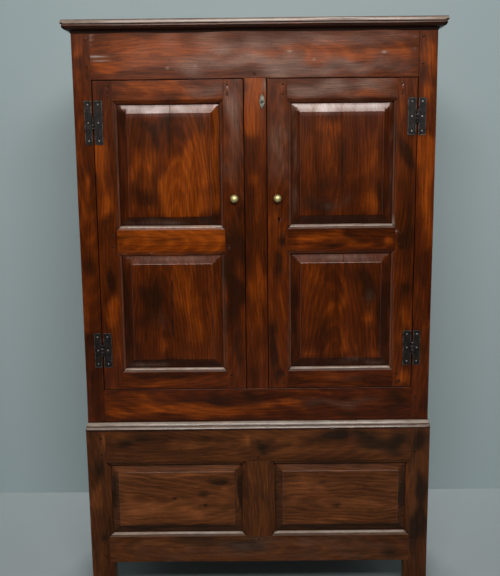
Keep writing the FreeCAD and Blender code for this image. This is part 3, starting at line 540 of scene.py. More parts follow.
@dataclass(frozen=True)
class TimberFinish:
    """Old timber under a polish. Colours are linear."""

    slot: Slot
    dark: Colour = (0.0150, 0.0036, 0.0008)
    body: Colour = (0.0800, 0.0108, 0.0006)
    bright: Colour = (0.2950, 0.0570, 0.0026)
    # The dirt colour also fills the crevices, as dirt and painted shade.
    dirt_and_shade: Colour = (0.0065, 0.0036, 0.0022)
    rubbed: Colour = (0.230, 0.0850, 0.0260)
    # The bloom colour is a painted sheen: grey reflection haze, with some bloom of the polish.
    bloom_and_sheen: Colour = (0.190, 0.1020, 0.0680)
    pale: Colour = (0.400, 0.3250, 0.2650)
    dust: Colour = (0.210, 0.1750, 0.1400)
    ring_spacing: float = 0.011
    curl: float = 1.0
    ring_share: float = 0.34
    contrast: float = 0.54
    # The crevice reach here and the crevice amount below darken corners and gaps: dirt and painted shade.
    grime_and_shade_reach: float = 0.016
    warmth: float = 0.50
    darkness: float = 0.55
    grime_and_shade: float = 0.95
    rub: float = 0.35
    dusting: float = 0.25
    roughness: float = 0.30
    coat: float = 0.31
    gloss: float = 0.12
    sheen: Colour = (0.90, 0.30, 0.08)
    coat_roughness: float = 0.13
    wave: float = 0.10
    dents: float = 0.05
    small_breaks: ClassVar[float] = 0.32
    streak_breaks: ClassVar[float] = 0.26
    break_level: ClassVar[float] = 0.29
    bloom_and_sheen_cover: ClassVar[float] = 0.60
    bloom_and_sheen_shine: ClassVar[float] = 2.2

    def colour(self, w: Wiring, figure: Callable[[str], Socket], clouds: Callable[[str], Socket]) -> Socket:
        """Mixes the colour of the timber and its marks, among them painted shade, painted sheen and painted
        highlights.

        Args:
            w: The material's wiring.
            figure: The placed timber figure.
            clouds: The placed polish clouds.

        Returns:
            The colour.
        """
        lines = w.plus(w.times(figure("Rings"), self.ring_share),
                       w.times(w.step(figure("Streaks"), 0.30, 0.70), 1.0 - self.ring_share))
        lines = w.step(lines, 0.0, 1.0, 0.5 - self.contrast / 2, 0.5 + self.contrast / 2)
        deep = w.blend(lines, self.dark, self.body)
        lively = w.blend(lines, self.body, self.bright)
        uneven = w.plus(w.times(clouds("Small"), self.small_breaks),
                        w.times(figure("Streaks"), self.streak_breaks))
        uneven = w.minus(uneven, self.break_level)

        def mark(name: str) -> Socket:
            """Breaks up the soft edge of a kind of mark."""
            return w.step(w.plus(w.attribute(name), uneven), 0.05, 0.98)

        warm = w.total(w.times(clouds("Broad"), self.warmth), w.attribute("tone"), mark("glow"))
        colour = w.blend(warm, deep, lively)
        # Darkening: dark clouds of the wood, shade marks, which are darker wood and also painted shade on
        # bevels and under mouldings, and the face darkening, which is dirt and painted shade.
        dull = w.total(w.times(clouds("Dark"), self.darkness), mark("shade"), w.attribute("soil"))
        colour = w.blend(w.times(dull, 0.90), colour, self.dark)
        # Bloom marks paint a sheen onto the colour: grey reflection haze and brighter top bevels, with some
        # bloom of the polish.
        colour = w.blend(w.times(mark("bloom_and_sheen"), self.bloom_and_sheen_cover), colour, self.bloom_and_sheen)
        grey = w.step(figure("Fibres"), 0.3, 0.7, 0.64, 1.26)
        shades = w.add("ShaderNodeCombineColor", {0: grey, 1: grey, 2: grey}).outputs[0]
        colour = w.blend(1.0, colour, shades, "MULTIPLY")
        colour = w.blend(w.times(figure("Pores"), 0.55), colour, self.dirt_and_shade)
        bleached = w.times(w.attribute("pale"), w.step(figure("Streaks"), 0.40, 0.62), clamp=True)
        # Pale bands on mouldings and the rims of raised fields are wear and painted highlights.
        worn = w.times(w.attribute("worn"), w.step(clouds("Small"), 0.3, 0.7, 0.6, 1.0))
        return w.blend(w.total(bleached, worn), colour, self.pale)

    def material(self) -> bpy.types.Material:
        """Builds the finish.

        Returns:
            The material.
        """
        material, w, shader = new_material(self.slot)
        grain, seed = w.attribute("grain", vector=True), w.attribute("seed")
        place = w.place()
        figure = TimberFigure().put(w, {"Grain": grain, "Seed": seed, "Spacing": self.ring_spacing,
                                        "Curl": self.curl})
        clouds = PolishClouds().put(w, {"Grain": grain, "Seed": seed})
        # The crevice mask darkens corners, gaps and recesses: dirt and painted shade.
        grime_and_shade = CreviceGrimeAndShade().put(w, {"Place": place, "Reach": self.grime_and_shade_reach, "Amount": self.grime_and_shade})
        rub = EdgeRub().put(w, {"Place": place, "Open": grime_and_shade("Open")})
        dust = RestingDust().put(w, {"Place": place, "Amount": self.dusting})
        relief = Relief().put(w, {"Place": place, "Seed": seed, "Wave": self.wave, "Dents": self.dents})

        colour = self.colour(w, figure, clouds)
        # Edges are not rubbed where faces are darkened for dirt and painted shade.
        clean_and_lit = w.minus(1.0, w.attribute("soil"))
        rubbed = w.times(w.times(rub("Mask"), self.rub), clean_and_lit)
        colour = w.blend(rubbed, colour, self.rubbed)
        colour = w.blend(dust("Mask"), colour, self.dust)
        # Crevices darken for dirt and painted shade, the joints between boards for dirt.
        dirty_and_shaded = w.total(grime_and_shade("Mask"), w.attribute("seam"))
        w.feed(shader.inputs["Base Color"], w.blend(dirty_and_shaded, colour, self.dirt_and_shade))

        rough = w.step(clouds("Small"), 0.25, 0.75, self.roughness - 0.07, self.roughness + 0.09)
        rough = w.plus(rough, w.times(grime_and_shade("Mask"), 0.25))
        w.feed(shader.inputs["Roughness"], w.plus(rough, w.times(dust("Mask"), 0.35)))
        cover = w.times(w.minus(1.0, grime_and_shade("Mask")), self.coat)
        cover = w.times(cover, w.step(figure("Streaks"), 0.30, 0.70, 0.70, 1.30))
        cover = w.times(cover, w.step(w.attribute("bloom_and_sheen"), 0.05, 1.00, 1.0, self.bloom_and_sheen_shine))
        w.feed(shader.inputs["Coat Weight"], w.minus(cover, dust("Mask"), clamp=True))
        shader.inputs["Coat Roughness"].default_value = self.coat_roughness
        shader.inputs["Specular IOR Level"].default_value = self.gloss
        shader.inputs["Specular Tint"].default_value = (*self.sheen, 1.0)

        fine = w.times(figure("Fibres"), 0.025)
        fine = w.minus(fine, w.times(figure("Pores"), 0.03))
        height = w.plus(relief("Height"), fine)
        w.feed(shader.inputs["Normal"], w.bump(height))
        return material


@dataclass(frozen=True)
class IronFinish:
    """Forged iron, blackened and pitted."""

    slot: Slot
    skin: Colour = (0.060, 0.057, 0.054)
    worn: Colour = (0.300, 0.285, 0.265)
    rust: Colour = (0.055, 0.022, 0.010)
    rusting: float = 0.45
    # How pale the iron's edges are: wear, and painted highlight rims.
    edge_wear_and_highlight: float = 0.6
    metal: float = 0.75
    gloss: float = 0.30
    roughness: float = 0.46
    pits: float = 0.22
    rub_reach: float = 0.0018

    def material(self) -> bpy.types.Material:
        """Builds the finish.

        Returns:
            The material.
        """
        material, w, shader = new_material(self.slot)
        place = w.place()
        broad = w.noise(w.scaled(place, (60.0, 60.0, 60.0)), 2.0, 4.0, 0.6)
        small = w.noise(w.scaled(place, (420.0, 420.0, 420.0)), 4.0, 3.0, 0.6)
        grime_and_shade = CreviceGrimeAndShade().put(w, {"Place": place, "Reach": 0.006, "Amount": 0.8})
        rub = EdgeRub().put(w, {"Place": place, "Radius": self.rub_reach, "Open": grime_and_shade("Open")})
        rusty = w.times(w.step(broad, 0.46, 0.66), self.rusting)
        # Pale edges are worn iron and painted highlight rims; crevices darken for dirt and painted shade.
        bare = w.total(w.times(rub("Mask"), self.edge_wear_and_highlight), w.times(w.step(small, 0.5, 0.8), 0.25))
        colour = w.blend(bare, self.skin, self.worn)
        colour = w.blend(rusty, colour, self.rust)
        w.feed(shader.inputs["Base Color"], w.blend(grime_and_shade("Mask"), colour, (0.004, 0.003, 0.002)))
        shader.inputs["Specular IOR Level"].default_value = self.gloss
        w.feed(shader.inputs["Metallic"], w.minus(self.metal, w.times(rusty, 0.6), clamp=True))
        rough = w.step(small, 0.3, 0.7, self.roughness - 0.08, self.roughness + 0.12)
        w.feed(shader.inputs["Roughness"], w.plus(rough, w.times(rusty, 0.25)))
        height = w.plus(w.times(broad, self.pits * 1.6), w.times(small, self.pits * 0.5))
        w.feed(shader.inputs["Normal"], w.bump(height))
        return material


@dataclass(frozen=True)
class BrassFinish:
    """Turned brass, polished by hands and dull in its hollows."""

    slot: Slot = Slot.BRASS
    bright: Colour = (0.800, 0.700, 0.330)
    tarnish: Colour = (0.430, 0.360, 0.150)
    roughness: float = 0.50

    def material(self) -> bpy.types.Material:
        """Builds the finish.

        Returns:
            The material.
        """
        material, w, shader = new_material(self.slot)
        place = w.place()
        cloud = w.noise(w.scaled(place, (110.0, 110.0, 110.0)), 1.0, 4.0, 0.6)
        fine = w.noise(w.scaled(place, (800.0, 800.0, 800.0)), 6.0, 2.0, 0.6)
        grime_and_shade = CreviceGrimeAndShade().put(w, {"Place": place, "Reach": 0.006, "Amount": 1.0})
        dull = w.total(w.times(w.step(cloud, 0.42, 0.7), 0.55), grime_and_shade("Mask"))
        w.feed(shader.inputs["Base Color"], w.blend(dull, self.bright, self.tarnish))
        shader.inputs["Metallic"].default_value = 1.0
        w.feed(shader.inputs["Roughness"], w.plus(w.times(dull, 0.22), self.roughness))
        w.feed(shader.inputs["Normal"], w.bump(w.times(fine, 0.02)))
        return material


Recipe = Union[TimberFinish, IronFinish, BrassFinish]


class Finishes:
    """Every finish of the press, each built when it is first asked for."""

    recipes: tuple[Recipe, ...] = (
        TimberFinish(Slot.CARCASS, warmth=0.40, darkness=0.30),
        TimberFinish(Slot.DOOR, warmth=0.36, darkness=0.34),
        TimberFinish(Slot.DOOR_PANEL, warmth=0.30, darkness=0.25, curl=1.3, ring_share=0.42, rub=0.2,
                     contrast=0.52, grime_and_shade_reach=0.020, grime_and_shade=0.70),
        TimberFinish(Slot.BASE, dark=(0.0085, 0.0046, 0.0022), body=(0.105, 0.0265, 0.0060),
                     bright=(0.230, 0.0720, 0.0170), warmth=0.42, contrast=0.44, darkness=0.40,
                     roughness=0.36, coat=0.29, coat_roughness=0.16),
        TimberFinish(Slot.BASE_PANEL, dark=(0.0120, 0.0055, 0.0024), body=(0.140, 0.0390, 0.0110),
                     bright=(0.230, 0.0720, 0.0190), warmth=0.45, contrast=0.42, grime_and_shade_reach=0.026,
                     darkness=0.25, curl=1.8, ring_share=0.55, ring_spacing=0.014, roughness=0.36,
                     coat=0.30, coat_roughness=0.16),
        TimberFinish(Slot.MOULDING, warmth=0.35, darkness=0.45, rub=0.85, grime_and_shade=1.0, dusting=0.55,
                     sheen=(0.95, 0.90, 0.85), rubbed=(0.330, 0.1700, 0.0800)),
        TimberFinish(Slot.PEG, body=(0.050, 0.0150, 0.0045), bright=(0.110, 0.0380, 0.0100), warmth=0.2,
                     coat=0.14, rub=0.12),
        TimberFinish(Slot.BACKING, dark=(0.060, 0.034, 0.018), body=(0.120, 0.075, 0.042),
                     bright=(0.190, 0.125, 0.075), rubbed=(0.200, 0.140, 0.090), roughness=0.78, coat=0.0,
                     wave=0.5, dents=0.25, dusting=0.5, rub=0.3),
        TimberFinish(Slot.INSIDE, dark=(0.075, 0.038, 0.017), body=(0.160, 0.090, 0.043),
                     bright=(0.260, 0.160, 0.085), rubbed=(0.260, 0.170, 0.100), roughness=0.68, coat=0.0,
                     wave=0.4, dents=0.15, dusting=0.35, rub=0.3, grime_and_shade=0.8),
        IronFinish(Slot.IRON, skin=(0.0075, 0.0062, 0.0054), worn=(0.300, 0.275, 0.245),
                   rust=(0.024, 0.0085, 0.0035), metal=0.40, gloss=0.20, edge_wear_and_highlight=1.0, roughness=0.36,
                   rub_reach=0.0034),
        IronFinish(Slot.NAIL, skin=(0.170, 0.162, 0.150), worn=(0.560, 0.530, 0.490), rusting=0.12,
                   edge_wear_and_highlight=0.9, roughness=0.42, pits=0.08),
        IronFinish(Slot.BUTTON, skin=(0.110, 0.112, 0.090), worn=(0.420, 0.410, 0.340), rusting=0.20,
                   edge_wear_and_highlight=0.8, roughness=0.42, pits=0.16),
        BrassFinish(),
    )
    made: dict[Slot, bpy.types.Material] = {}

    @classmethod
    def get(cls, slot: Slot) -> bpy.types.Material:
        """Gives the material of a finish.

        Args:
            slot: The finish.

        Returns:
            The material, the same one each time.
        """
        if slot not in cls.made:
            recipe = next(recipe for recipe in cls.recipes if recipe.slot == slot)
            cls.made[slot] = recipe.material()
        return cls.made[slot]


# Marks on the front: tone and age of the wood, with painted shade and painted sheen


class Waves:
    """A gentle field of shifts over space, so that pieces that touch stay together."""

    def __init__(self, length: float, height: float, seed: int, count: int = 10) -> None:
        """Draws the waves of the field.

        Args:
            length: About how long a wave is.
            height: About how far it shifts a point.
            seed: Picks the field.
            count: How many waves are added up.
        """
        random = np.random.default_rng(seed)
        ways = random.normal(size=(3, count, 3))
        ways /= np.linalg.norm(ways, axis=2, keepdims=True)
        self.ways = ways * (2 * math.pi / (length * random.uniform(0.6, 1.7, (3, count, 1))))
        self.phases = random.uniform(0.0, 2 * math.pi, (3, count))
        self.height = height * math.sqrt(2.0 / count)

    def at(self, places: np.ndarray) -> np.ndarray:
        """Gives the shift at each point, one a row."""
        parts = [np.sin(places @ self.ways[i].T + self.phases[i]).sum(axis=1) for i in range(3)]
        return np.stack(parts, axis=1) * self.height


RAGGED = Waves(0.100, 0.40, 12)
MARK_DEPTH = 0.014
MARK_FADE = 0.7
MARK_PATCHINESS = 0.35
# Millimetres, like the marks' own reach
RAGGED_REACH = 45.0
SMALL_MARK = 6.5


@dataclass(frozen=True)
class Mark:
    """A soft patch on a piece's front: its place in shares of the piece's box, its reach in millimetres."""

    tint: Tint
    across: float
    up: float
    half_width: float
    half_height: float
    strength: float

    def over(self, places: np.ndarray, low: Vector, high: Vector) -> np.ndarray:
        """Gives the mark's strength at points.

        Args:
            places: Points, one a row.
            low: The lowest corner of the piece's box.
            high: The highest corner.

        Returns:
            One number a point.
        """
        x = low.x + self.across * (high.x - low.x)
        z = low.z + self.up * (high.z - low.z)
        halves = np.array([self.half_width, self.half_height])
        off = (places[:, (0, 2)] - (x, z)) * 1000 / halves
        patchy = 1.0
        if self.half_height > SMALL_MARK:
            ragged = RAGGED.at(places)
            off += ragged[:, (0, 2)] * np.minimum(1.0, RAGGED_REACH / halves)
            patchy = 1.0 + MARK_PATCHINESS * ragged[:, 1]
        fade = np.exp(-MARK_FADE * (off ** 2).sum(axis=1)) * (places[:, 1] < low.y + MARK_DEPTH)
        return self.strength * fade * patchy

    def cuts(self, low: Vector, high: Vector) -> list[tuple[Axis, float]]:
        """Gives the cuts that a small mark needs to show its form.

        Args:
            low: The lowest corner of the piece's box.
            high: The highest corner.

        Returns:
            Axes with places on them.
        """
        places = []
        for axis, share, half in ((Axis.X, self.across, self.half_width),
                                  (Axis.Z, self.up, self.half_height)):
            if half <= SMALL_MARK:
                middle = low[axis.value] + share * (high[axis.value] - low[axis.value])
                places += [(axis, middle + step * half / 1000) for step in (-1.7, -0.9, 0.0, 0.9, 1.7)]
        return places


@dataclass(frozen=True)
class Viewpoint:
    """Where the picture is taken from: turns in degrees, lens and film in millimetres, picture in pixels."""

    place: Point = (-0.0142, -2.9450, 1.5980)
    pitch: float = 9.683
    roll: float = 0.609
    yaw: float = 0.185
    lens: float = 50.0
    film: float = 36.0
    picture_width: int = 500
    picture_height: int = 576

    def turn(self) -> Matrix:
        """Gives the camera's turn.

        Returns:
            Its matrix.
        """
        return (Matrix.Rotation(math.radians(self.yaw), 4, "Z")
                @ Matrix.Rotation(math.radians(90.0 - self.pitch), 4, "X")
                @ Matrix.Rotation(math.radians(-self.roll), 4, "Z"))

    def meets(self, column: float, row: float, y: float) -> tuple[float, float]:
        """Finds what a place in the picture shows on an upright plane.

        Args:
            column: The picture's column.
            row: Its row, counted down.
            y: How deep the plane stands.

        Returns:
            The x and z of the place on the plane.
        """
        focal = self.lens / self.film * self.picture_height
        across, up = column - self.picture_width / 2, self.picture_height / 2 - row
        sight = self.turn() @ Vector((across / focal, up / focal, -1.0))
        reach = (y - self.place[1]) / sight.y
        return self.place[0] + reach * sight.x, self.place[2] + reach * sight.z


VIEWPOINT = Viewpoint()
PANEL_DEPTH = 0.005
# Millimetres of each stage that a pixel of the picture covers
UPPER_PIXEL = 3.39
BASE_PIXEL = 3.55


@dataclass(frozen=True)
class Seen:
    """A soft patch as noted: its place and its reach in columns and rows of the picture."""

    tint: Tint
    column: float
    row: float
    half_columns: float
    half_rows: float
    strength: float

    def on(self, node: str) -> Mark:
        """Works out the mark on a piece's front that is seen there.

        Args:
            node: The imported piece.

        Returns:
            The mark, to a hundredth and a millimetre, since an eye places it no better.
        """
        low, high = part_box(node)
        in_base = high.z < BASE_TOP + LEVEL
        front = (BASE_FRONT_Y if in_base else FRONT_Y) + (PANEL_DEPTH if "panel" in node else 0.0)
        x, z = VIEWPOINT.meets(self.column, self.row, front)
        pixel = BASE_PIXEL if in_base else UPPER_PIXEL
        share = STRENGTH_SHARES.get(node, {}).get(self.tint, 1.0)
        return Mark(self.tint, round((x - low.x) / (high.x - low.x), 2),
                    round((z - low.z) / (high.z - low.z), 2), round(self.half_columns * pixel),
                    round(self.half_rows * pixel), round(self.strength * share, 2))


GLOW, SHADE, BLOOM, PALE = Tint
# The shares of their noted strength that marks have on some of the pieces
STRENGTH_SHARES: dict[str, dict[Tint, float]] = {
    "left_door_upper_panel": {GLOW: 1.15, SHADE: 0.80},
    "left_door_lower_panel": {GLOW: 0.644, SHADE: 0.80},
    "right_door_hinge_stile": {GLOW: 0.75, SHADE: 1.15},
    "right_door_upper_panel": {GLOW: 0.85},
    "right_door_lower_panel": {GLOW: 0.68, SHADE: 0.90},
}
# The marks noted in the picture, and those then set on the pieces themselves
MARKS: dict[str, tuple[Union[Mark, Seen], ...]] = {
    "frieze_rail": (
        Seen(GLOW, 150, 47, 45, 8, 0.8), Seen(GLOW, 105, 66, 12, 4, 0.5),
        Seen(BLOOM, 215, 63, 45, 12, 0.52), Seen(BLOOM, 300, 39, 110, 5, 0.45),
        Seen(GLOW, 325, 52, 50, 7, 0.7), Seen(GLOW, 398, 48, 14, 5, 0.5), Seen(BLOOM, 355, 68, 45, 7, 0.45),
        Seen(SHADE, 190, 37, 60, 3, 0.4), Mark(PALE, 0.045, 0.43, 24, 2.6, 1.0),
        Mark(PALE, 0.06, 0.35, 20, 1.8, 0.8), Mark(PALE, 0.6, 0.49, 6, 3, 0.55),
        Mark(PALE, 0.67, 0.34, 5, 3, 0.45), Mark(PALE, 0.87, 0.46, 6, 3.5, 0.55),
        Mark(PALE, 0.33, 0.24, 5, 4, 0.4), Mark(PALE, 0.25, 0.21, 4, 3.5, 0.4),
        Mark(BLOOM, 0.6, 0.22, 170, 24, 0.37), Mark(GLOW, 0.17, 0.3, 90, 12, 0.4),
        Mark(BLOOM, 0.3, 0.93, 330, 7, 0.45), Seen(BLOOM, 225, 49, 8, 3, 0.52),
        Seen(SHADE, 250, 73, 14, 3, 0.5), Seen(PALE, 90.5, 38, 1.2, 5, 0.45),
        Seen(PALE, 417, 44, 1.2, 3, 0.8), Mark(BLOOM, 0.5, 0.45, 560, 60, 0.19),
        Mark(GLOW, 0.45, 0.5, 560, 60, 0.2)),
    "upper_left_front_stile": (
        Seen(GLOW, 79, 48, 5, 7, 0.7), Mark(SHADE, 0.78, 0.93, 10, 10, 0.7),
        Mark(SHADE, 0.5, 0.1, 40, 150, 0.3), Seen(SHADE, 87, 76, 3, 3, 0.8), Seen(GLOW, 80, 86, 6, 9, 0.5),
        Seen(GLOW, 80, 200, 4, 40, 0.5), Seen(GLOW, 88, 185, 3, 12, 0.6), Seen(SHADE, 83, 180, 3, 7, 0.7),
        Seen(SHADE, 89, 270, 4, 12, 1.0), Seen(GLOW, 94, 240, 2.5, 24, 0.5),
        Seen(SHADE, 93, 345, 7, 14, 0.7), Mark(SHADE, 0.48, 0.12, 20, 47, 0.4),
        Seen(GLOW, 90, 410, 5, 7, 0.3)),
    "upper_right_front_stile": (
        Seen(GLOW, 432, 44, 5, 8, 0.85), Seen(GLOW, 427, 60, 6, 7, 0.8), Seen(SHADE, 423, 72, 3, 4, 0.75),
        Seen(GLOW, 431, 86, 6, 14, 0.7), Seen(GLOW, 429, 152, 8, 13, 1.1), Seen(GLOW, 428, 190, 7, 24, 0.7),
        Seen(GLOW, 427, 235, 6, 22, 0.5), Seen(SHADE, 420, 285, 4, 26, 0.75),
        Seen(GLOW, 425, 322, 6, 9, 0.4), Seen(SHADE, 424, 345, 4, 18, 0.62),
        Seen(SHADE, 425, 402, 6, 12, 0.75)),
    "centre_muntin": (
        Mark(GLOW, 0.4, 0.9, 27, 72, 1.6), Seen(SHADE, 262, 92, 2.5, 8, 0.5),
        Seen(BLOOM, 264, 84, 2, 5, 1.2), Seen(SHADE, 255, 148, 7, 12, 0.8),
        Seen(GLOW, 254, 180, 5, 12, 0.6), Seen(SHADE, 247, 190, 2.5, 40, 0.5),
        Seen(GLOW, 259, 205, 3, 15, 0.5), Seen(SHADE, 254, 240, 7, 7, 0.5),
        Seen(GLOW, 254, 285, 6, 30, 0.5), Seen(BLOOM, 253, 334, 2.5, 3.5, 0.35),
        Seen(SHADE, 254, 375, 8, 14, 0.6), Mark(GLOW, 0.5, 0.3, 27, 260, 0.32)),
    "upper_bottom_rail": (
        Seen(GLOW, 140, 397, 22, 3.5, 0.7), Seen(GLOW, 165, 408, 40, 4, 0.9),
        Seen(SHADE, 195, 402, 24, 4, 0.7), Seen(SHADE, 221, 397, 12, 6, 0.5),
        Seen(GLOW, 120, 413, 10, 4, 0.5), Seen(GLOW, 232, 414, 26, 3, 0.7),
        Seen(GLOW, 280, 404, 16, 3.5, 1.1), Seen(SHADE, 254, 394, 10, 5, 1.0),
        Seen(SHADE, 302, 404, 14, 2.5, 0.8), Seen(GLOW, 325, 393, 8, 3, 0.5),
        Seen(BLOOM, 340, 402, 40, 6, 0.4), Seen(SHADE, 398, 400, 12, 9, 1.0),
        Seen(SHADE, 350, 413, 30, 3, 0.7), Mark(GLOW, 0.3, 0.45, 280, 26, 0.33)),
    "left_door_hinge_stile": (
        Seen(SHADE, 97, 91, 5, 9, 0.6), Mark(GLOW, 0.2, 0.75, 17, 51, 1.1),
        Seen(GLOW, 104, 205, 5, 14, 0.7), Seen(SHADE, 111, 225, 4, 9, 0.7),
        Seen(SHADE, 110, 283, 4, 12, 1.1), Seen(GLOW, 112, 315, 5, 15, 1.0),
        Seen(SHADE, 106, 350, 5, 14, 0.5), Seen(GLOW, 117, 352, 3, 10, 0.5),
        Seen(SHADE, 106, 380, 6, 7, 0.4), Mark(GLOW, 0.45, 0.66, 22, 150, 0.2),
        Mark(SHADE, 0.4, 0.4, 40, 220, 0.2)),
    "left_door_meeting_stile": (
        Mark(BLOOM, 0.6, 0.93, 34, 90, 0.6), Mark(BLOOM, 0.6, 0.76, 30, 100, 0.36),
        Seen(SHADE, 240, 207, 4, 9, 0.6), Seen(SHADE, 234, 245, 7, 18, 0.5),
        Seen(SHADE, 236, 290, 7, 26, 0.6), Mark(SHADE, 0.5, 0.32, 50, 190, 0.6),
        Seen(SHADE, 240, 355, 4, 18, 0.6), Seen(BLOOM, 237, 372, 3, 4, 0.4),
        Seen(SHADE, 228, 243, 1.6, 1.6, 1.0), Seen(SHADE, 233, 239, 1.3, 1.3, 1.0)),
    "left_door_top_rail": (
        Mark(GLOW, 0.37, 0.62, 110, 24, 0.7), Mark(BLOOM, 0.8, 0.66, 60, 20, 0.48),
        Mark(GLOW, 0.8, 0.4, 80, 20, 0.5), Mark(SHADE, 0.1, 0.54, 12, 20, 0.4)),
    "left_door_middle_rail": (
        Mark(GLOW, 0.34, 0.44, 85, 28, 1.65), Mark(GLOW, 0.66, 0.6, 95, 26, 1.45),
        Mark(GLOW, 0.5, 0.4, 160, 30, 0.7), Seen(SHADE, 127, 237, 8, 2.5, 1.0),
        Seen(SHADE, 206, 245, 11, 2.5, 0.5), Seen(SHADE, 174, 239, 12, 1.2, 0.7),
        Seen(SHADE, 122, 245, 3, 4, 0.8)),
    "left_door_bottom_rail": (
        Mark(GLOW, 0.42, 0.29, 108, 10, 0.48), Seen(SHADE, 160, 375, 34, 2.5, 1.0),
        Seen(SHADE, 220, 380, 6, 6, 0.5)),
    "left_door_upper_panel": (
        Seen(SHADE, 150, 124, 12, 8, 1.0), Seen(SHADE, 140, 143, 6, 7, 0.7),
        Seen(SHADE, 157, 138, 4, 12, 0.8), Seen(GLOW, 134, 162, 4, 14, 0.6),
        Seen(GLOW, 148, 167, 5, 13, 0.5), Seen(SHADE, 137, 180, 4, 7, 0.7),
        Seen(SHADE, 145, 199, 14, 8, 1.2), Seen(SHADE, 157, 182, 3, 20, 0.7),
        Seen(GLOW, 132, 206, 3, 6, 0.5), Seen(GLOW, 175, 180, 10, 26, 0.8),
        Seen(GLOW, 193, 172, 6, 38, 1.2), Seen(GLOW, 204, 152, 5, 26, 0.7),
        Seen(SHADE, 171, 122, 8, 7, 0.6), Seen(SHADE, 200, 126, 4, 12, 0.9),
        Seen(GLOW, 184, 204, 18, 7, 1.0), Seen(SHADE, 123, 126, 5, 14, 0.8),
        Seen(SHADE, 121, 175, 4, 34, 0.4), Seen(GLOW, 215, 160, 3, 34, 0.6),
        Seen(SHADE, 216, 218, 5, 5, 0.6), Mark(GLOW, 0.28, 0.45, 45, 160, 0.3),
        Mark(GLOW, 0.94, 0.55, 10, 130, 0.4), Seen(SHADE, 168, 221, 44, 3.5, 0.9),
        Seen(BLOOM, 168, 222, 34, 3, 0.5), Mark(BLOOM, 0.5, 0.95, 150, 10, 0.75)),
    "left_door_lower_panel": (
        Seen(GLOW, 180, 284, 10, 16, 0.7), Seen(GLOW, 192, 312, 8, 20, 1.0),
        Seen(GLOW, 168, 346, 6, 9, 0.8), Seen(SHADE, 155, 294, 11, 18, 1.1),
        Seen(SHADE, 146, 326, 10, 11, 0.8), Seen(BLOOM, 161, 324, 10, 8, 0.15),
        Seen(SHADE, 203, 298, 5, 11, 0.8), Seen(SHADE, 180, 336, 6, 8, 0.6),
        Seen(SHADE, 190, 347, 6, 6, 0.5), Seen(GLOW, 143, 275, 7, 8, 0.3), Seen(SHADE, 139, 351, 7, 8, 0.6),
        Seen(GLOW, 201, 334, 5, 13, 0.6), Seen(SHADE, 127, 312, 4, 42, 1.1),
        Seen(GLOW, 217, 315, 2.5, 30, 1.0), Seen(SHADE, 172, 363, 42, 3, 1.1),
        Seen(BLOOM, 150, 365, 24, 2.5, 0.5), Mark(BLOOM, 0.48, 0.95, 140, 10, 0.55)),
    "right_door_hinge_stile": (
        Seen(GLOW, 403, 88, 3, 6, 0.5), Seen(GLOW, 402, 103, 2.5, 9, 0.9),
        Seen(SHADE, 411, 152, 4, 11, 0.7), Mark(GLOW, 0.45, 0.57, 8, 115, 0.19),
        Seen(SHADE, 409, 230, 3, 22, 0.6), Mark(SHADE, 0.5, 0.72, 40, 160, 0.75),
        Mark(SHADE, 0.6, 0.36, 34, 220, 0.4), Mark(PALE, 0.1, 0.545, 3, 9, 0.8),
        Mark(PALE, 0.16, 0.52, 5, 2.5, 0.7), Seen(SHADE, 400, 240, 3, 5, 1.2),
        Seen(SHADE, 405, 290, 4, 13, 0.6), Seen(GLOW, 406, 315, 4, 9, 0.8), Seen(GLOW, 400, 336, 3, 8, 0.6),
        Seen(GLOW, 405, 378, 6, 5, 1.2), Seen(SHADE, 399, 380, 1.6, 1.6, 1.0)),
    "right_door_meeting_stile": (
        Seen(GLOW, 275, 90, 5, 7, 0.5), Seen(SHADE, 270, 96, 2.5, 11, 0.7),
        Mark(BLOOM, 0.42, 0.8, 32, 120, 0.55), Seen(GLOW, 272, 125, 3, 9, 0.4),
        Seen(GLOW, 274, 218, 4, 13, 0.6), Seen(SHADE, 282, 237, 3, 5.5, 1.3),
        Seen(SHADE, 279, 270, 4, 12, 0.9), Seen(GLOW, 271, 275, 2.5, 11, 0.4),
        Seen(SHADE, 272, 345, 4, 30, 1.0), Seen(SHADE, 280, 376, 4, 7, 1.0),
        Seen(GLOW, 283, 305, 2.5, 22, 0.5), Mark(PALE, 0.55, 0.56, 2, 4, 0.6),
        Mark(SHADE, 0.36, 0.6, 14, 30, 0.6)),
    "right_door_top_rail": (
        Mark(BLOOM, 0.3, 0.58, 115, 26, 0.95), Mark(BLOOM, 0.72, 0.6, 90, 26, 0.62),
        Mark(GLOW, 0.67, 0.35, 88, 12, 0.7)),
    "right_door_middle_rail": (
        Seen(GLOW, 305, 239, 12, 7, 1.1), Seen(GLOW, 331, 236, 10, 3.5, 0.7),
        Seen(SHADE, 333, 245.5, 10, 1.8, 1.2), Seen(GLOW, 360, 243, 22, 3.5, 0.5),
        Seen(SHADE, 352, 237, 12, 3.5, 0.6), Seen(GLOW, 388, 240, 3, 3, 0.8),
        Seen(SHADE, 395, 240, 2.5, 7, 0.8)),
    "right_door_bottom_rail": (
        Seen(GLOW, 330, 377, 36, 4, 0.5), Seen(BLOOM, 350, 378, 26, 3, 0.3),
        Seen(SHADE, 292, 380, 4, 5, 0.6)),
    "right_door_upper_panel": (
        Seen(SHADE, 324, 192, 17, 15, 0.6), Seen(GLOW, 325, 126, 12, 7, 0.5),
        Seen(GLOW, 311, 160, 5, 34, 0.3), Seen(GLOW, 331, 160, 6, 26, 0.4),
        Seen(SHADE, 343, 150, 2, 26, 0.7), Seen(GLOW, 372, 152, 6, 26, 0.6),
        Seen(SHADE, 358, 140, 6, 13, 0.5), Seen(SHADE, 380, 197, 4, 15, 0.8),
        Seen(GLOW, 366, 202, 7, 8, 0.6), Seen(GLOW, 360, 176, 8, 10, 0.4),
        Seen(SHADE, 319, 206, 15, 6, 0.6), Seen(BLOOM, 330, 200, 20, 8, 0.3),
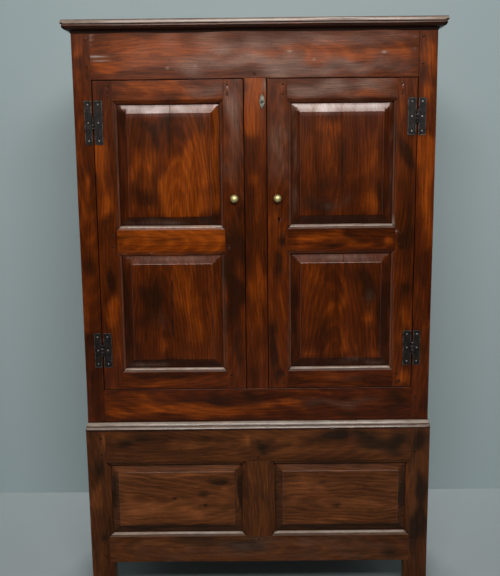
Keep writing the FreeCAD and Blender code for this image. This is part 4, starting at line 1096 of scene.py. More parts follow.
        Seen(SHADE, 293, 165, 3.5, 44, 0.45), Seen(GLOW, 391, 150, 2, 18, 0.5),
        Seen(SHADE, 390, 192, 3, 22, 0.6), Seen(SHADE, 340, 220, 42, 3, 1.0),
        Mark(BLOOM, 0.5, 0.95, 150, 10, 0.75), Mark(BLOOM, 0.05, 0.5, 9, 210, 0.4),
        Mark(BLOOM, 0.96, 0.5, 9, 210, 0.32)),
    "right_door_lower_panel": (
        Seen(GLOW, 310, 285, 7, 15, 0.8), Seen(GLOW, 321, 275, 6, 10, 0.9),
        Seen(GLOW, 332, 305, 6, 16, 1.1), Seen(GLOW, 343, 295, 3, 22, 0.8),
        Seen(SHADE, 318, 321, 8, 10, 0.5), Seen(GLOW, 305, 350, 6, 5, 0.7),
        Seen(GLOW, 330, 351, 15, 4, 0.6), Seen(SHADE, 322, 338, 7, 7, 0.7),
        Seen(GLOW, 344, 340, 3, 17, 0.7), Seen(SHADE, 365, 286, 12, 22, 1.2),
        Seen(BLOOM, 366, 296, 9, 12, 0.3), Seen(GLOW, 368, 318, 6, 8, 1.0),
        Seen(GLOW, 358, 341, 6, 12, 0.5), Seen(SHADE, 379, 330, 3, 22, 0.7),
        Seen(GLOW, 370, 352, 7, 4, 0.6), Seen(SHADE, 294, 312, 3.5, 40, 0.9),
        Seen(SHADE, 387, 312, 4, 40, 1.1), Seen(SHADE, 340, 362, 40, 2.5, 0.8),
        Seen(BLOOM, 340, 362, 34, 2.5, 0.6), Mark(BLOOM, 0.5, 0.95, 136, 10, 0.45)),
    "base_left_front_leg": (
        Seen(GLOW, 96, 450, 5, 14, 0.3), Seen(GLOW, 104, 440, 2, 7, 0.7), Seen(SHADE, 98, 471, 6, 9, 0.8),
        Seen(GLOW, 98, 502, 5, 16, 0.5), Seen(SHADE, 104, 537, 3, 5, 0.9), Seen(GLOW, 100, 560, 5, 9, 0.3)),
    "base_right_front_leg": (
        Seen(SHADE, 415, 441, 6, 10, 1.0), Seen(GLOW, 414, 480, 3, 16, 0.4),
        Seen(SHADE, 420, 500, 4, 24, 0.7), Seen(SHADE, 415, 520, 4, 9, 0.5),
        Mark(SHADE, 0.5, 0.45, 45, 330, 0.6)),
    "base_top_rail": (
        Seen(SHADE, 126, 445, 9, 7, 0.8), Seen(SHADE, 146, 438, 17, 4, 0.6),
        Seen(GLOW, 180, 446, 22, 5, 0.5), Seen(GLOW, 120, 436, 10, 3, 0.5),
        Seen(SHADE, 206, 437, 13, 3.5, 0.7), Seen(GLOW, 245, 443, 3, 8, 1.0),
        Mark(SHADE, 0.51, 0.42, 44, 24, 0.8), Seen(GLOW, 286, 440, 15, 3.5, 0.5),
        Seen(SHADE, 335, 435, 15, 5, 1.1), Seen(SHADE, 311, 441, 9, 4, 0.6),
        Seen(GLOW, 300, 451, 16, 3, 0.4), Mark(SHADE, 0.9, 0.62, 80, 34, 1.1),
        Seen(GLOW, 372, 451, 26, 2.5, 0.5)),
    "base_bottom_rail": (
        Seen(GLOW, 160, 546, 34, 5, 0.5), Seen(SHADE, 240, 545, 10, 7, 0.6),
        Seen(SHADE, 192, 540, 16, 2.5, 0.5), Seen(GLOW, 310, 546, 34, 5, 0.4),
        Seen(SHADE, 395, 550, 10, 6, 0.6), Seen(SHADE, 253, 545, 2.5, 3, 0.7),
        Mark(BLOOM, 0.5, 0.5, 520, 60, 0.35), Mark(SHADE, 0.5, 0.5, 520, 60, 0.4)),
    "base_muntin": (
        Seen(GLOW, 255, 480, 4, 12, 0.4), Seen(SHADE, 263, 500, 5, 20, 0.6),
        Seen(SHADE, 252, 528, 4, 8, 0.6)),
    "base_left_panel": (
        Seen(GLOW, 175, 475, 40, 2.5, 0.6), Seen(SHADE, 218, 483, 11, 3.5, 1.1),
        Seen(SHADE, 205, 493, 6, 3.5, 0.7), Seen(GLOW, 226, 491, 4, 6, 0.6),
        Seen(GLOW, 150, 511, 25, 6, 0.6), Seen(GLOW, 190, 513, 15, 5, 0.6),
        Seen(GLOW, 135, 491, 10, 9, 0.3), Seen(SHADE, 174, 498, 2, 1.3, 1.2),
        Seen(SHADE, 206, 505, 1.8, 1.4, 1.2), Seen(SHADE, 115, 495, 3, 20, 0.6),
        Seen(SHADE, 175, 465, 50, 2, 0.5), Seen(SHADE, 241, 495, 3, 20, 0.6),
        Seen(GLOW, 237, 490, 1.4, 12, 0.7), Seen(SHADE, 175, 526, 50, 2, 1.0),
        Mark(GLOW, 0.45, 0.5, 160, 40, 0.36)),
    "base_right_panel": (
        Mark(SHADE, 0.46, 0.39, 15, 10, 0.8), Seen(GLOW, 305, 490, 12, 10, 0.6),
        Seen(GLOW, 360, 500, 16, 9, 0.5), Seen(GLOW, 340, 518, 34, 2.5, 0.5),
        Seen(SHADE, 318, 483, 7, 2.5, 0.6), Seen(SHADE, 366, 478, 12, 2.5, 0.5),
        Seen(SHADE, 276, 495, 3, 20, 0.6), Seen(SHADE, 340, 465, 46, 2, 0.6),
        Seen(SHADE, 401, 495, 3, 20, 0.7), Seen(SHADE, 340, 525, 46, 2, 0.9)),
}


def marks_on(node: str) -> list[Mark]:
    """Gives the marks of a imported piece."""
    return [mark.on(node) if isinstance(mark, Seen) else mark for mark in MARKS.get(node, ())]


# Working the pieces


@dataclass(frozen=True)
class Band:
    """A strip along a moulding, either pale for wear and a painted highlight, or dark for old dirt and
    painted shade. Millimetres down from the piece's top.
    """

    kind: WearAndPaintedLight
    start: float
    end: float
    strength: float


def rail_bands(width: float, fillet: float, round_start: float) -> tuple[Band, ...]:
    """Gives the bands of a moulding under a panel.

    Args:
        width: The moulding's width.
        fillet: The width of its flat edge.
        round_start: Where its round starts, from the flat edge's outer line.

    Returns:
        The round made pale for wear and a painted highlight, the quirk made dark for dirt and painted shade,
        and the fillet made pale like the round.
    """
    return (Band(WearAndPaintedLight.WORN_AND_HIGHLIT, 0.0, width - round_start, 0.62),
            Band(WearAndPaintedLight.SOIL_AND_SHADE, width - round_start, width - fillet, 1.0),
            Band(WearAndPaintedLight.WORN_AND_HIGHLIT, width - fillet, width - 0.3, 0.16))


@dataclass(frozen=True)
class Working:
    """How one kind of piece is worked: its edges, how finely it is divided, and its waves. Metres."""

    slot: Slot
    grain: Axis = Axis.Z
    inner: Optional[Slot] = Slot.INSIDE
    cell_along: float = 0.018
    cell_across: float = 0.011
    edge: float = 0.0007
    edge_steps: int = 2
    shortest_edge: float = 0.012
    wave_length: float = 0.30
    wave_height: float = 0.00030
    own_height: float = 0.00012
    tone: float = 0.10
    pith_spread: float = 0.05
    seams: tuple[float, ...] = ()
    # Darkening of faces that point down, and of slanted faces turned to the side: painted shade.
    soil_under: float = 0.35
    soil_aside: float = 0.0
    bands: tuple[Band, ...] = ()
    banded_side: float = 0.0
    # A pale line along the sides of a raised field: a painted highlight.
    rim: float = 0.0
    smooth_angle: float = 38.0
    seed: int = 1

    @property
    def seam_axis(self) -> Axis:
        """The direction across the boards that a panel is joined of."""
        return Axis.Z if self.grain is Axis.X else Axis.X

    @property
    def grain_axes(self) -> tuple[int, int, int]:
        """The directions along the grain, across it and into the board.

        Returns:
            Their places in a point.
        """
        across = Axis.X if self.grain is Axis.Z else Axis.Z
        depth = next(axis for axis in Axis if axis not in (self.grain, across))
        return self.grain.value, across.value, depth.value

    def from_edge(self, place: Vector, low: Vector, high: Vector) -> float:
        """Measures how far a place is from the edge where the bands start, in millimetres.

        Args:
            place: The place.
            low: The lowest corner of the piece's box.
            high: The highest corner.

        Returns:
            The distance, from the top or, on the moulded part of a stile, from its banded side.
        """
        if not self.banded_side:
            return (high.z - place.z) * 1000
        if place.y < low.y + MOULDED_DEPTH:
            return math.inf
        return (high.x - place.x if self.banded_side > 0 else place.x - low.x) * 1000


def variant(working: Working, seed: int, **changes) -> Working:
    """Gives the same working with a seed of its own, and other changes."""
    return replace(working, seed=seed, **changes)


MOULDED_DEPTH = 0.0009
RIM_WIDTH = 0.0020
SEAM_HALF = 0.0007
SEAM_DEPTH = 0.0006
WELD = 2e-6
CUT_TOLERANCE = 1e-6
FOOT_CONTACT = 0.0005
POLISH_DEPTH = 0.016
SIDE_THICKNESS = 0.030
BACK_FACE_Y = 0.25
FLAT_FRONT = -0.995
SLANTED = (0.1, 0.98)
SEAM_SOIL = 0.85


def cut(shell: bmesh.types.BMesh, point: Vector, normal: Vector) -> None:
    """Cuts every face of a mesh along a plane."""
    bmesh.ops.bisect_plane(shell, geom=shell.verts[:] + shell.edges[:] + shell.faces[:],
                           dist=CUT_TOLERANCE, plane_co=point, plane_no=normal)


def islands(shell: bmesh.types.BMesh) -> list[list[bmesh.types.BMVert]]:
    """Splits a mesh into the sets of points that hang together.

    Args:
        shell: The mesh.

    Returns:
        The points of each set.
    """
    groups, seen = [], set()
    for start in shell.verts:
        if start.index in seen:
            continue
        seen.add(start.index)
        group, waiting = [], [start]
        while waiting:
            point = waiting.pop()
            group.append(point)
            for edge in point.link_edges:
                other = edge.other_vert(point)
                if other.index not in seen:
                    seen.add(other.index)
                    waiting.append(other)
        groups.append(group)
    return groups


def faces_inside(centre: Vector, normal: Vector) -> bool:
    """Whether a face is bare timber that looks into the cupboard or to the wall.

    Args:
        centre: The face's middle.
        normal: Its direction.

    Returns:
        True where the polish stops.
    """
    if normal.y > 0.5 and (abs(centre.x) < UPPER_HALF - SIDE_THICKNESS or centre.y > BACK_FACE_Y):
        return True
    front = FRONT_Y if centre.z > BASE_TOP else BASE_FRONT_Y
    towards_middle = -normal.x * math.copysign(1.0, centre.x)
    return towards_middle > 0.5 and centre.y > front + POLISH_DEPTH


class Workshop:
    """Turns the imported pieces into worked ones."""

    def __init__(self) -> None:
        """Sets up the field of waves that all pieces share."""
        self.waves = Waves(0.55, 1.0, 7)
        self.count = 0
        self.raised: dict[str, tuple[float, float]] = {}

    def merged(self, node: str) -> bmesh.types.BMesh:
        """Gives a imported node's mesh, whole and with its flat faces joined.

        Args:
            node: The node's name.

        Returns:
            A new mesh, to be freed by the caller.
        """
        shell = bmesh.new()
        shell.from_mesh(frame["nodes"][node].data)
        bmesh.ops.remove_doubles(shell, verts=shell.verts, dist=WELD)
        bmesh.ops.dissolve_limit(shell, angle_limit=math.radians(0.6), verts=shell.verts, edges=shell.edges)
        return shell

    def ease(self, shell: bmesh.types.BMesh, working: Working) -> None:
        """Takes off the sharp outer edges.

        Args:
            shell: The mesh.
            working: How it is worked.
        """
        edges = [edge for edge in shell.edges
                 if len(edge.link_faces) == 2 and edge.is_convex
                 and edge.calc_length() > working.shortest_edge
                 and edge.calc_face_angle() > math.radians(30.0)]
        if edges and working.edge > 0:
            bmesh.ops.bevel(shell, geom=edges, offset=working.edge, offset_type="OFFSET", affect="EDGES",
                            segments=working.edge_steps, profile=0.5, clamp_overlap=True)

    def divide(self, shell: bmesh.types.BMesh, node: str, working: Working) -> None:
        """Cuts the faces into cells, so that they can follow the waves, with finer ones at small marks.

        Args:
            shell: The mesh to cut.
            node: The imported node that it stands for.
            working: How it is worked.
        """
        low = [min(v.co[i] for v in shell.verts) for i in range(3)]
        high = [max(v.co[i] for v in shell.verts) for i in range(3)]
        cuts: list[tuple[Axis, float]] = []
        for axis in Axis:
            cell = working.cell_along if axis is working.grain else working.cell_across
            span = high[axis.value] - low[axis.value]
            number = int(span / cell)
            cuts += [(axis, low[axis.value] + span * (i + 1) / (number + 1)) for i in range(number)]
        for seam in working.seams:
            cuts += [(working.seam_axis, seam + side * SEAM_HALF) for side in (-1, 0, 1)]
        for mark in marks_on(node):
            cuts += mark.cuts(*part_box(node))
        if working.rim:
            places = [v.co.x for v in shell.verts if v.co.y < low[1] + LEVEL]
            left, right = self.raised[node] = (min(places), max(places))
            cuts += [(Axis.X, left + RIM_WIDTH), (Axis.X, right - RIM_WIDTH)]
        for axis, place in cuts:
            normal = Vector((0.0, 0.0, 0.0))
            normal[axis.value] = 1.0
            cut(shell, normal * place, normal)

    def shape(self, shell: bmesh.types.BMesh, working: Working) -> None:
        """Moves the points by the shared waves, and by a smaller wave of each solid's own.

        Args:
            shell: The mesh.
            working: How it is worked.
        """
        for number, group in enumerate(islands(shell)):
            places = np.array([v.co for v in group], float)
            shift = self.waves.at(places) * working.wave_height
            own = Waves(working.wave_length, working.own_height, working.seed * 97 + number)
            shift += own.at(places)
            moved = np.clip(places + shift, np.array(CAD_BOX[0]), np.array(CAD_BOX[1]))
            moved[places[:, 2] < FOOT_CONTACT, 2] = 0.0
            for vert, place in zip(group, moved):
                vert.co = place

    def sink_seams(self, shell: bmesh.types.BMesh, working: Working) -> None:
        """Presses the joint between the boards of a panel into both of its faces.

        Args:
            shell: The mesh.
            working: How it is worked.
        """
        across = working.seam_axis.value
        shell.normal_update()
        pressed = []
        for vert in shell.verts:
            if any(abs(vert.co[across] - seam) < SEAM_HALF / 3 for seam in working.seams):
                if abs(vert.normal.y) > 0.7:
                    pressed.append(vert)
        for vert in pressed:
            vert.co.y -= math.copysign(SEAM_DEPTH, vert.normal.y)

    def dress(self, mesh: bpy.types.Mesh, node: str, working: Working, groups: list[list[int]]) -> None:
        """Writes on a mesh what the finishes read from it.

        Args:
            mesh: The finished mesh.
            node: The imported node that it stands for.
            working: How it was worked.
            groups: The points of each solid.
        """
        random = np.random.default_rng(working.seed)
        places = np.array([v.co for v in mesh.vertices], float)
        self.write_grain(mesh, places, working, groups, random)
        self.write_marks(mesh, places, node, working)
        self.write_wear(mesh, node, working, groups, random)

    def write_grain(self, mesh: bpy.types.Mesh, places: np.ndarray, working: Working,
                    groups: list[list[int]], random: np.random.Generator) -> None:
        """Writes each point's place in the log that its board was sawn from: along, across and into it.

        Args:
            mesh: The finished mesh.
            places: Its points, one a row.
            working: How it was worked.
            groups: The points of each solid.
            random: Draws where in the log each board lay.
        """
        grain = np.zeros_like(places)
        for group in groups:
            centre = (places[group].min(axis=0) + places[group].max(axis=0)) / 2
            offset = (random.uniform(-0.35, 0.35),
                      random.uniform(-working.pith_spread, working.pith_spread), 0.0)
            for part, axis in enumerate(working.grain_axes):
                grain[group, part] = places[group, axis] - centre[axis] + offset[part]
        self.attribute(mesh, "grain", "FLOAT_VECTOR", "POINT", grain)

    def write_marks(self, mesh: bpy.types.Mesh, places: np.ndarray, node: str, working: Working) -> None:
        """Writes the marks of each tint, and the dirt in the joints between boards.

        Args:
            mesh: The finished mesh.
            places: Its points, one a row.
            node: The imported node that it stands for.
            working: How it was worked.
        """
        low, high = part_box(node)
        marks = marks_on(node)
        for tint in Tint:
            fields = [mark.over(places, low, high) for mark in marks if mark.tint is tint]
            self.attribute(mesh, tint.value, "FLOAT", "POINT", sum(fields, np.zeros(len(places))))
        seam = np.zeros(len(places))
        for place in working.seams:
            seam[np.abs(places[:, working.seam_axis.value] - place) < SEAM_HALF / 3] = SEAM_SOIL
        self.attribute(mesh, "seam", "FLOAT", "POINT", seam)

    def write_wear(self, mesh: bpy.types.Mesh, node: str, working: Working, groups: list[list[int]],
                   random: np.random.Generator) -> None:
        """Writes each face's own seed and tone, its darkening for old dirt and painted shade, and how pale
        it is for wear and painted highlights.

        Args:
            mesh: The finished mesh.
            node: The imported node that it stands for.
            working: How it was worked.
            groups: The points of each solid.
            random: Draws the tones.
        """
        owner = {point: number for number, group in enumerate(groups) for point in group}
        tones = random.uniform(-working.tone, working.tone, (len(groups), len(working.seams) + 1))
        low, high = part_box(node)
        left, right = self.raised.get(node, (-math.inf, math.inf))
        seeds, toned, soiled_and_shaded, worn = [], [], [], []
        for face in mesh.polygons:
            number = owner[face.vertices[0]]
            board = sum(1 for place in working.seams if face.center[working.seam_axis.value] > place)
            seeds.append(5.3 * self.count + 3.7 * number + 11.9 * board)
            toned.append(tones[number, board])
            # Faces that point down and slanted side faces are darkened as painted shade; dark bands add dirt
            # and painted shade.
            under = working.soil_under * min(max(-face.normal.z / 0.2, 0.0), 1.0)
            aside = working.soil_aside * (SLANTED[0] < abs(face.normal.x) < SLANTED[1])
            drop = working.from_edge(face.center, low, high)
            here = [band for band in working.bands
                    if band.start <= drop < band.end and face.normal.y < -0.05]
            soiled_and_shaded.append(max([under, aside] + [band.strength for band in here if band.kind is WearAndPaintedLight.SOIL_AND_SHADE]))
            # The rim line along a raised field is a painted highlight; pale bands are wear and painted
            # highlights.
            inward = min(face.center.x - left, right - face.center.x)
            at_rim = 0.0 < inward < RIM_WIDTH and face.normal.y < FLAT_FRONT
            worn.append(max([at_rim * working.rim]
                            + [band.strength for band in here if band.kind is WearAndPaintedLight.WORN_AND_HIGHLIT]))
        for name, values in (("seed", seeds), ("tone", toned), ("soil", soiled_and_shaded), ("worn", worn)):
            self.attribute(mesh, name, "FLOAT", "FACE", np.array(values))

    @staticmethod
    def attribute(mesh: bpy.types.Mesh, name: str, kind: str, domain: str, values: np.ndarray) -> None:
        """Stores numbers or vectors on a mesh under a name.

        Args:
            mesh: The mesh.
            name: The name that a finish reads.
            kind: Blender's type for them.
            domain: Whether they belong to points or faces.
            values: One row a point or face.
        """
        layer = mesh.attributes.new(name, kind, domain)
        part = "vector" if kind == "FLOAT_VECTOR" else "value"
        layer.data.foreach_set(part, values.astype(np.float32).ravel())

    def finish(self, shell: bmesh.types.BMesh, name: str, node: str, working: Working) -> bpy.types.Object:
        """Makes the object of a worked mesh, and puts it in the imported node's place.

        Args:
            shell: The worked mesh, which is freed.
            name: The piece's name.
            node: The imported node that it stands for.
            working: How it was worked.

        Returns:
            The piece.
        """
        self.count += 1
        shell.verts.index_update()
        groups = [[v.index for v in group] for group in islands(shell)]
        shell.normal_update()
        for face in shell.faces:
            face.smooth = True
            if working.inner is not None and faces_inside(face.calc_center_median(), face.normal):
                face.material_index = 1
        mesh = bpy.data.meshes.new(name)
        shell.to_mesh(mesh)
        shell.free()
        mesh.set_sharp_from_angle(angle=math.radians(working.smooth_angle))
        mesh.materials.append(Finishes.get(working.slot))
        if working.inner is not None:
            mesh.materials.append(Finishes.get(working.inner))
        self.dress(mesh, node, working, groups)
        piece = bpy.data.objects.new(name, mesh)
        bpy.context.scene.collection.objects.link(piece)
        modifier = piece.modifiers.new("flat_faces_lead", "WEIGHTED_NORMAL")
        modifier.keep_sharp = True
        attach(piece, frame["nodes"][node]["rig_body"])
        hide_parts(node)
        LOG.info("%s: %d points, %d solids, in place of %s", name, len(mesh.vertices), len(groups), node)
        return piece

    def work(self, node: str, working: Working, suffix: str = "timber") -> bpy.types.Object:
        """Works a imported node: eases its edges, divides it and gives it its waves.

        Args:
            node: The node's name.
            working: How to work it.
            suffix: A word for the piece's name.

        Returns:
            The piece.
        """
        shell = self.merged(node)
        self.ease(shell, working)
        self.divide(shell, node, working)
        self.sink_seams(shell, working)
        self.shape(shell, working)
        return self.finish(shell, "%s_%s" % (node, suffix), node, working)

    def remake(self, node: str, suffix: str, working: Working,
               add_one: Callable[[bmesh.types.BMesh, Vector, Vector], None]) -> bpy.types.Object:
        """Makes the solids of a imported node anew, each in its own box.

        Args:
            node: The node's name.
            suffix: A word for the piece's name.
            working: How the solids are worked.
            add_one: Adds one solid to a mesh, given its box's lowest and highest corner.

        Returns:
            The piece.
        """
        shell = bmesh.new()
        for low, high in self.solids(node):
            add_one(shell, low, high)
        turn_outward(shell)
        return self.finish(shell, "%s_%s" % (node, suffix), node, working)

    def solids(self, node: str) -> list[tuple[Vector, Vector]]:
        """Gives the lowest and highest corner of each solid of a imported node.

        Args:
            node: The node's name.

        Returns:
            The two corners of each solid.
        """
        shell = self.merged(node)
        shell.verts.index_update()
        boxes = []
        for group in islands(shell):
            low = Vector([min(v.co[i] for v in group) for i in range(3)])
            high = Vector([max(v.co[i] for v in group) for i in range(3)])
            boxes.append((low, high))
        shell.free()
        return boxes


def add_turned(shell: bmesh.types.BMesh, profile: Sequence[tuple[float, float]], origin: Vector,
               axis: Vector, sides: int, uneven: Optional[np.ndarray] = None) -> None:
    """Turns an outline about an axis into a closed form.

    Args:
        shell: The mesh to add it to.
        profile: Places along the axis with their radii, from end to end.
        origin: Where the axis starts.
        axis: Its direction.
        sides: How many sides the form has.
        uneven: A factor for the radius on each side.
    """
    turn = axis.to_track_quat("Z", "Y").to_matrix()
    factors = np.ones(sides) if uneven is None else uneven
    rings = []
    for along, radius in profile:
        if radius <= 0.0:
            rings.append([shell.verts.new(origin + axis * along)])
            continue
        ring = []
        for i in range(sides):
            angle = 2 * math.pi * i / sides
            point = Vector((math.cos(angle), math.sin(angle), 0.0)) * (radius * factors[i])
            ring.append(shell.verts.new(origin + axis * along + turn @ point))
        rings.append(ring)
    for lower, upper in zip(rings, rings[1:]):
        for i in range(sides):
            j = (i + 1) % sides
            if len(lower) == 1:
                shell.faces.new((lower[0], upper[j], upper[i]))
            elif len(upper) == 1:
                shell.faces.new((lower[i], lower[j], upper[0]))
            else:
                shell.faces.new((lower[i], lower[j], upper[j], upper[i]))


def turn_outward(shell: bmesh.types.BMesh) -> None:
    """Turns all faces outward."""
    bmesh.ops.recalc_face_normals(shell, faces=shell.faces[:])


# The sub-assemblies


@dataclass
class UpperStage:
    """The carcass of the upper stage: posts, rails, muntin, side panels, back and top."""

    workshop: Workshop
    post: Working = Working(Slot.CARCASS, Axis.Z, pith_spread=0.12)
    rail: Working = Working(Slot.CARCASS, Axis.X, pith_spread=0.08)
    side_rail: Working = Working(Slot.CARCASS, Axis.Y, pith_spread=0.06, cell_along=0.04, cell_across=0.02)
    panel: Working = Working(Slot.DOOR_PANEL, Axis.Z, cell_along=0.04, cell_across=0.03, edge=0.0,
                             soil_under=0.7, soil_aside=0.3)
    boards: Working = Working(Slot.BACKING, Axis.Z, inner=Slot.INSIDE, cell_along=0.12, cell_across=0.05,
                              own_height=0.0005, tone=0.25)
    top: Working = Working(Slot.BACKING, Axis.X, cell_along=0.10, cell_across=0.05, own_height=0.0004,
                           tone=0.2)

    def build(self) -> None:
        """Works every piece of the stage."""
        for number, name in enumerate(("left_front", "right_front", "left_back", "right_back")):
            self.workshop.work("upper_%s_stile" % name, variant(self.post, 11 + number))
        for number, node in enumerate(("frieze_rail", "upper_bottom_rail")):
            self.workshop.work(node, variant(self.rail, 21 + number))
        self.workshop.work("centre_muntin", variant(self.post, 25))
        self.workshop.work("upper_side_rails", variant(self.side_rail, 27))
        self.workshop.work("upper_side_panels", variant(self.panel, 29))
        self.workshop.work("back_rails", variant(self.top, 31))
        self.workshop.work("back_boards", variant(self.boards, 33))
        self.workshop.work("top_boards", variant(self.top, 35))


@dataclass
class Base:
    """The closed base: legs, rails, muntin, two long panels, sides and floor."""

    workshop: Workshop
    leg: Working = Working(Slot.BASE, Axis.Z, pith_spread=0.10, own_height=0.0002)
    rail: Working = Working(Slot.BASE, Axis.X, pith_spread=0.06, own_height=0.0002)
    moulded: tuple[Band, ...] = rail_bands(15.0, 5.6, 7.0)
    side_rail: Working = Working(Slot.BASE, Axis.Y, pith_spread=0.06, cell_along=0.04, cell_across=0.02)
    panel: Working = Working(Slot.BASE_PANEL, Axis.X, pith_spread=0.03, edge=0.0006, edge_steps=1,
                             soil_under=0.75, soil_aside=0.5, rim=0.06)
    side_panel: Working = Working(Slot.BASE_PANEL, Axis.Z, cell_along=0.04, cell_across=0.03, edge=0.0,
                                  soil_under=0.7, soil_aside=0.3)
    floor: Working = Working(Slot.INSIDE, Axis.Y, inner=None, cell_along=0.06, cell_across=0.04, tone=0.2)

    def build(self) -> None:
        """Works every piece of the base."""
        for number, name in enumerate(("left_front", "right_front", "left_back", "right_back")):
            self.workshop.work("base_%s_leg" % name, variant(self.leg, 41 + number))
        for number, node in enumerate(("base_top_rail", "base_bottom_rail")):
            working = variant(self.rail, 51 + number, bands=self.moulded if number else ())
            self.workshop.work(node, working)
        self.workshop.work("base_muntin", variant(self.leg, 55))
        for number, side in enumerate(("left", "right")):
            self.workshop.work("base_%s_panel" % side, variant(self.panel, 57 + number))
        self.workshop.work("base_side_rails", variant(self.side_rail, 61))
        self.workshop.work("base_side_panels", variant(self.side_panel, 63))
        self.workshop.work("base_floor_boards", variant(self.floor, 65))


@dataclass
class Mouldings:
    """The cornice with its returns, and the moulding round the waist."""

    workshop: Workshop
    strip: Working = Working(Slot.MOULDING, Axis.X, inner=None, cell_along=0.016, cell_across=0.5,
                             edge=0.0005, edge_steps=1, wave_length=0.16, own_height=0.00022,
                             pith_spread=0.03, soil_under=1.0, smooth_angle=50.0)
    # Pale bands on the nose and fillets are wear and painted highlights; dark bands in the quirks and under
    # the cornice and waist are dirt and painted shade.
    cornice: tuple[Band, ...] = (
        Band(WearAndPaintedLight.SOIL_AND_SHADE, 0.0, 1.4, 0.8), Band(WearAndPaintedLight.WORN_AND_HIGHLIT, 1.4, 12.7, 0.50), Band(WearAndPaintedLight.SOIL_AND_SHADE, 12.7, 13.8, 1.0),
        Band(WearAndPaintedLight.WORN_AND_HIGHLIT, 13.8, 17.5, 0.20), Band(WearAndPaintedLight.SOIL_AND_SHADE, 18.5, 24.0, 0.6),
        Band(WearAndPaintedLight.SOIL_AND_SHADE, 24.0, 60.0, 1.0))
    waist: tuple[Band, ...] = (
        Band(WearAndPaintedLight.WORN_AND_HIGHLIT, 0.0, 10.4, 0.80), Band(WearAndPaintedLight.SOIL_AND_SHADE, 10.8, 14.2, 0.75),
        Band(WearAndPaintedLight.WORN_AND_HIGHLIT, 14.2, 20.5, 0.56), Band(WearAndPaintedLight.SOIL_AND_SHADE, 21.0, 60.0, 1.0))

    def build(self) -> None:
        """Works the mouldings."""
        self.workshop.work("cornice_front", variant(self.strip, 71, bands=self.cornice))
        self.workshop.work("cornice_returns", variant(self.strip, 72, grain=Axis.Y, bands=self.cornice))
        self.workshop.work("waist_moulding", variant(self.strip, 73, bands=self.waist))


@dataclass
class Door:
    """One door: its frame, its two fielded panels and the joints between their boards."""

    workshop: Workshop
    side: str
    seams: tuple[float, ...]
    seed: int
    stile: Working = Working(Slot.DOOR, Axis.Z, pith_spread=0.12)
    rail: Working = Working(Slot.DOOR, Axis.X, pith_spread=0.05)
    moulded: tuple[Band, ...] = rail_bands(14.0, 5.2, 6.4)
    # Pale bands on the stiles' mouldings are wear and painted highlights; dark ones in the quirks are dirt
    # and painted shade.
    moulded_side: tuple[Band, ...] = (
        Band(WearAndPaintedLight.SOIL_AND_SHADE, 0.0, 1.3, 0.8), Band(WearAndPaintedLight.WORN_AND_HIGHLIT, 1.3, 7.6, 0.055), Band(WearAndPaintedLight.SOIL_AND_SHADE, 7.6, 8.9, 1.0),
        Band(WearAndPaintedLight.WORN_AND_HIGHLIT, 8.9, 13.8, 0.035))
    panel: Working = Working(Slot.DOOR_PANEL, Axis.Z, pith_spread=0.05, tone=0.12, edge=0.0,
                             soil_under=0.75, soil_aside=0.30, rim=0.05)

    def build(self) -> None:
        """Works the door's timbers."""
        for number, stile in enumerate(("hinge_stile", "meeting_stile")):
            inner = 1.0 if (self.side == "left") == (stile == "hinge_stile") else -1.0
            working = variant(self.stile, self.seed + number, bands=self.moulded_side, banded_side=inner)
            self.workshop.work("%s_door_%s" % (self.side, stile), working)
        for number, rail in enumerate(("top_rail", "middle_rail", "bottom_rail")):
            working = variant(self.rail, self.seed + 3 + number, bands=self.moulded if number else ())
            self.workshop.work("%s_door_%s" % (self.side, rail), working)
        for number, panel in enumerate(("upper_panel", "lower_panel")):
            working = variant(self.panel, self.seed + 7 + number, seams=(self.seams[number],))
            self.workshop.work("%s_door_%s" % (self.side, panel), working)


@dataclass
class Pegs:
    """The drawbore pegs: shaved by hand, so not quite round, and a little proud."""

    workshop: Workshop
    sides: int = 9
    working: Working = Working(Slot.PEG, Axis.Y, inner=None, smooth_angle=40.0)

    def build(self) -> None:
        """Makes the pegs of the frame and of both doors."""
        for number, node in enumerate(("frame_pegs", "left_door_pegs", "right_door_pegs")):
            random = np.random.default_rng(80 + number)
            self.workshop.remake(node, "shaved", variant(self.working, 80 + number),
                                 lambda shell, low, high: self.peg(shell, low, high, random))

    def peg(self, shell: bmesh.types.BMesh, low: Vector, high: Vector, random: np.random.Generator) -> None:
        """Adds one peg in a box.

        Args:
            shell: The mesh to add it to.
            low: The box's lowest corner.
            high: The box's highest corner.
            random: Draws its unevenness.
        """
        size, middle = high - low, (low + high) / 2
        if size.y > size.x:
            outward, origin = OUTWARD, Vector((middle.x, high.y, middle.z))
        else:
            way = math.copysign(1.0, middle.x)
            outward = Vector((way, 0.0, 0.0))
            origin = Vector((low.x if way > 0 else high.x, middle.y, middle.z))
        length, radius = max(size), min(size) / 2
        uneven = random.uniform(0.93, 1.03, self.sides)
        tip = length * random.uniform(0.985, 1.0)
        profile = [(0.0, 0.0), (0.0, radius * 0.9), (length * 0.1, radius), (tip - 0.0011, radius),
                   (tip - 0.0005, radius * 0.93), (tip - 0.0001, radius * 0.62), (tip, 0.0)]
        add_turned(shell, profile, origin, outward, self.sides, uneven)


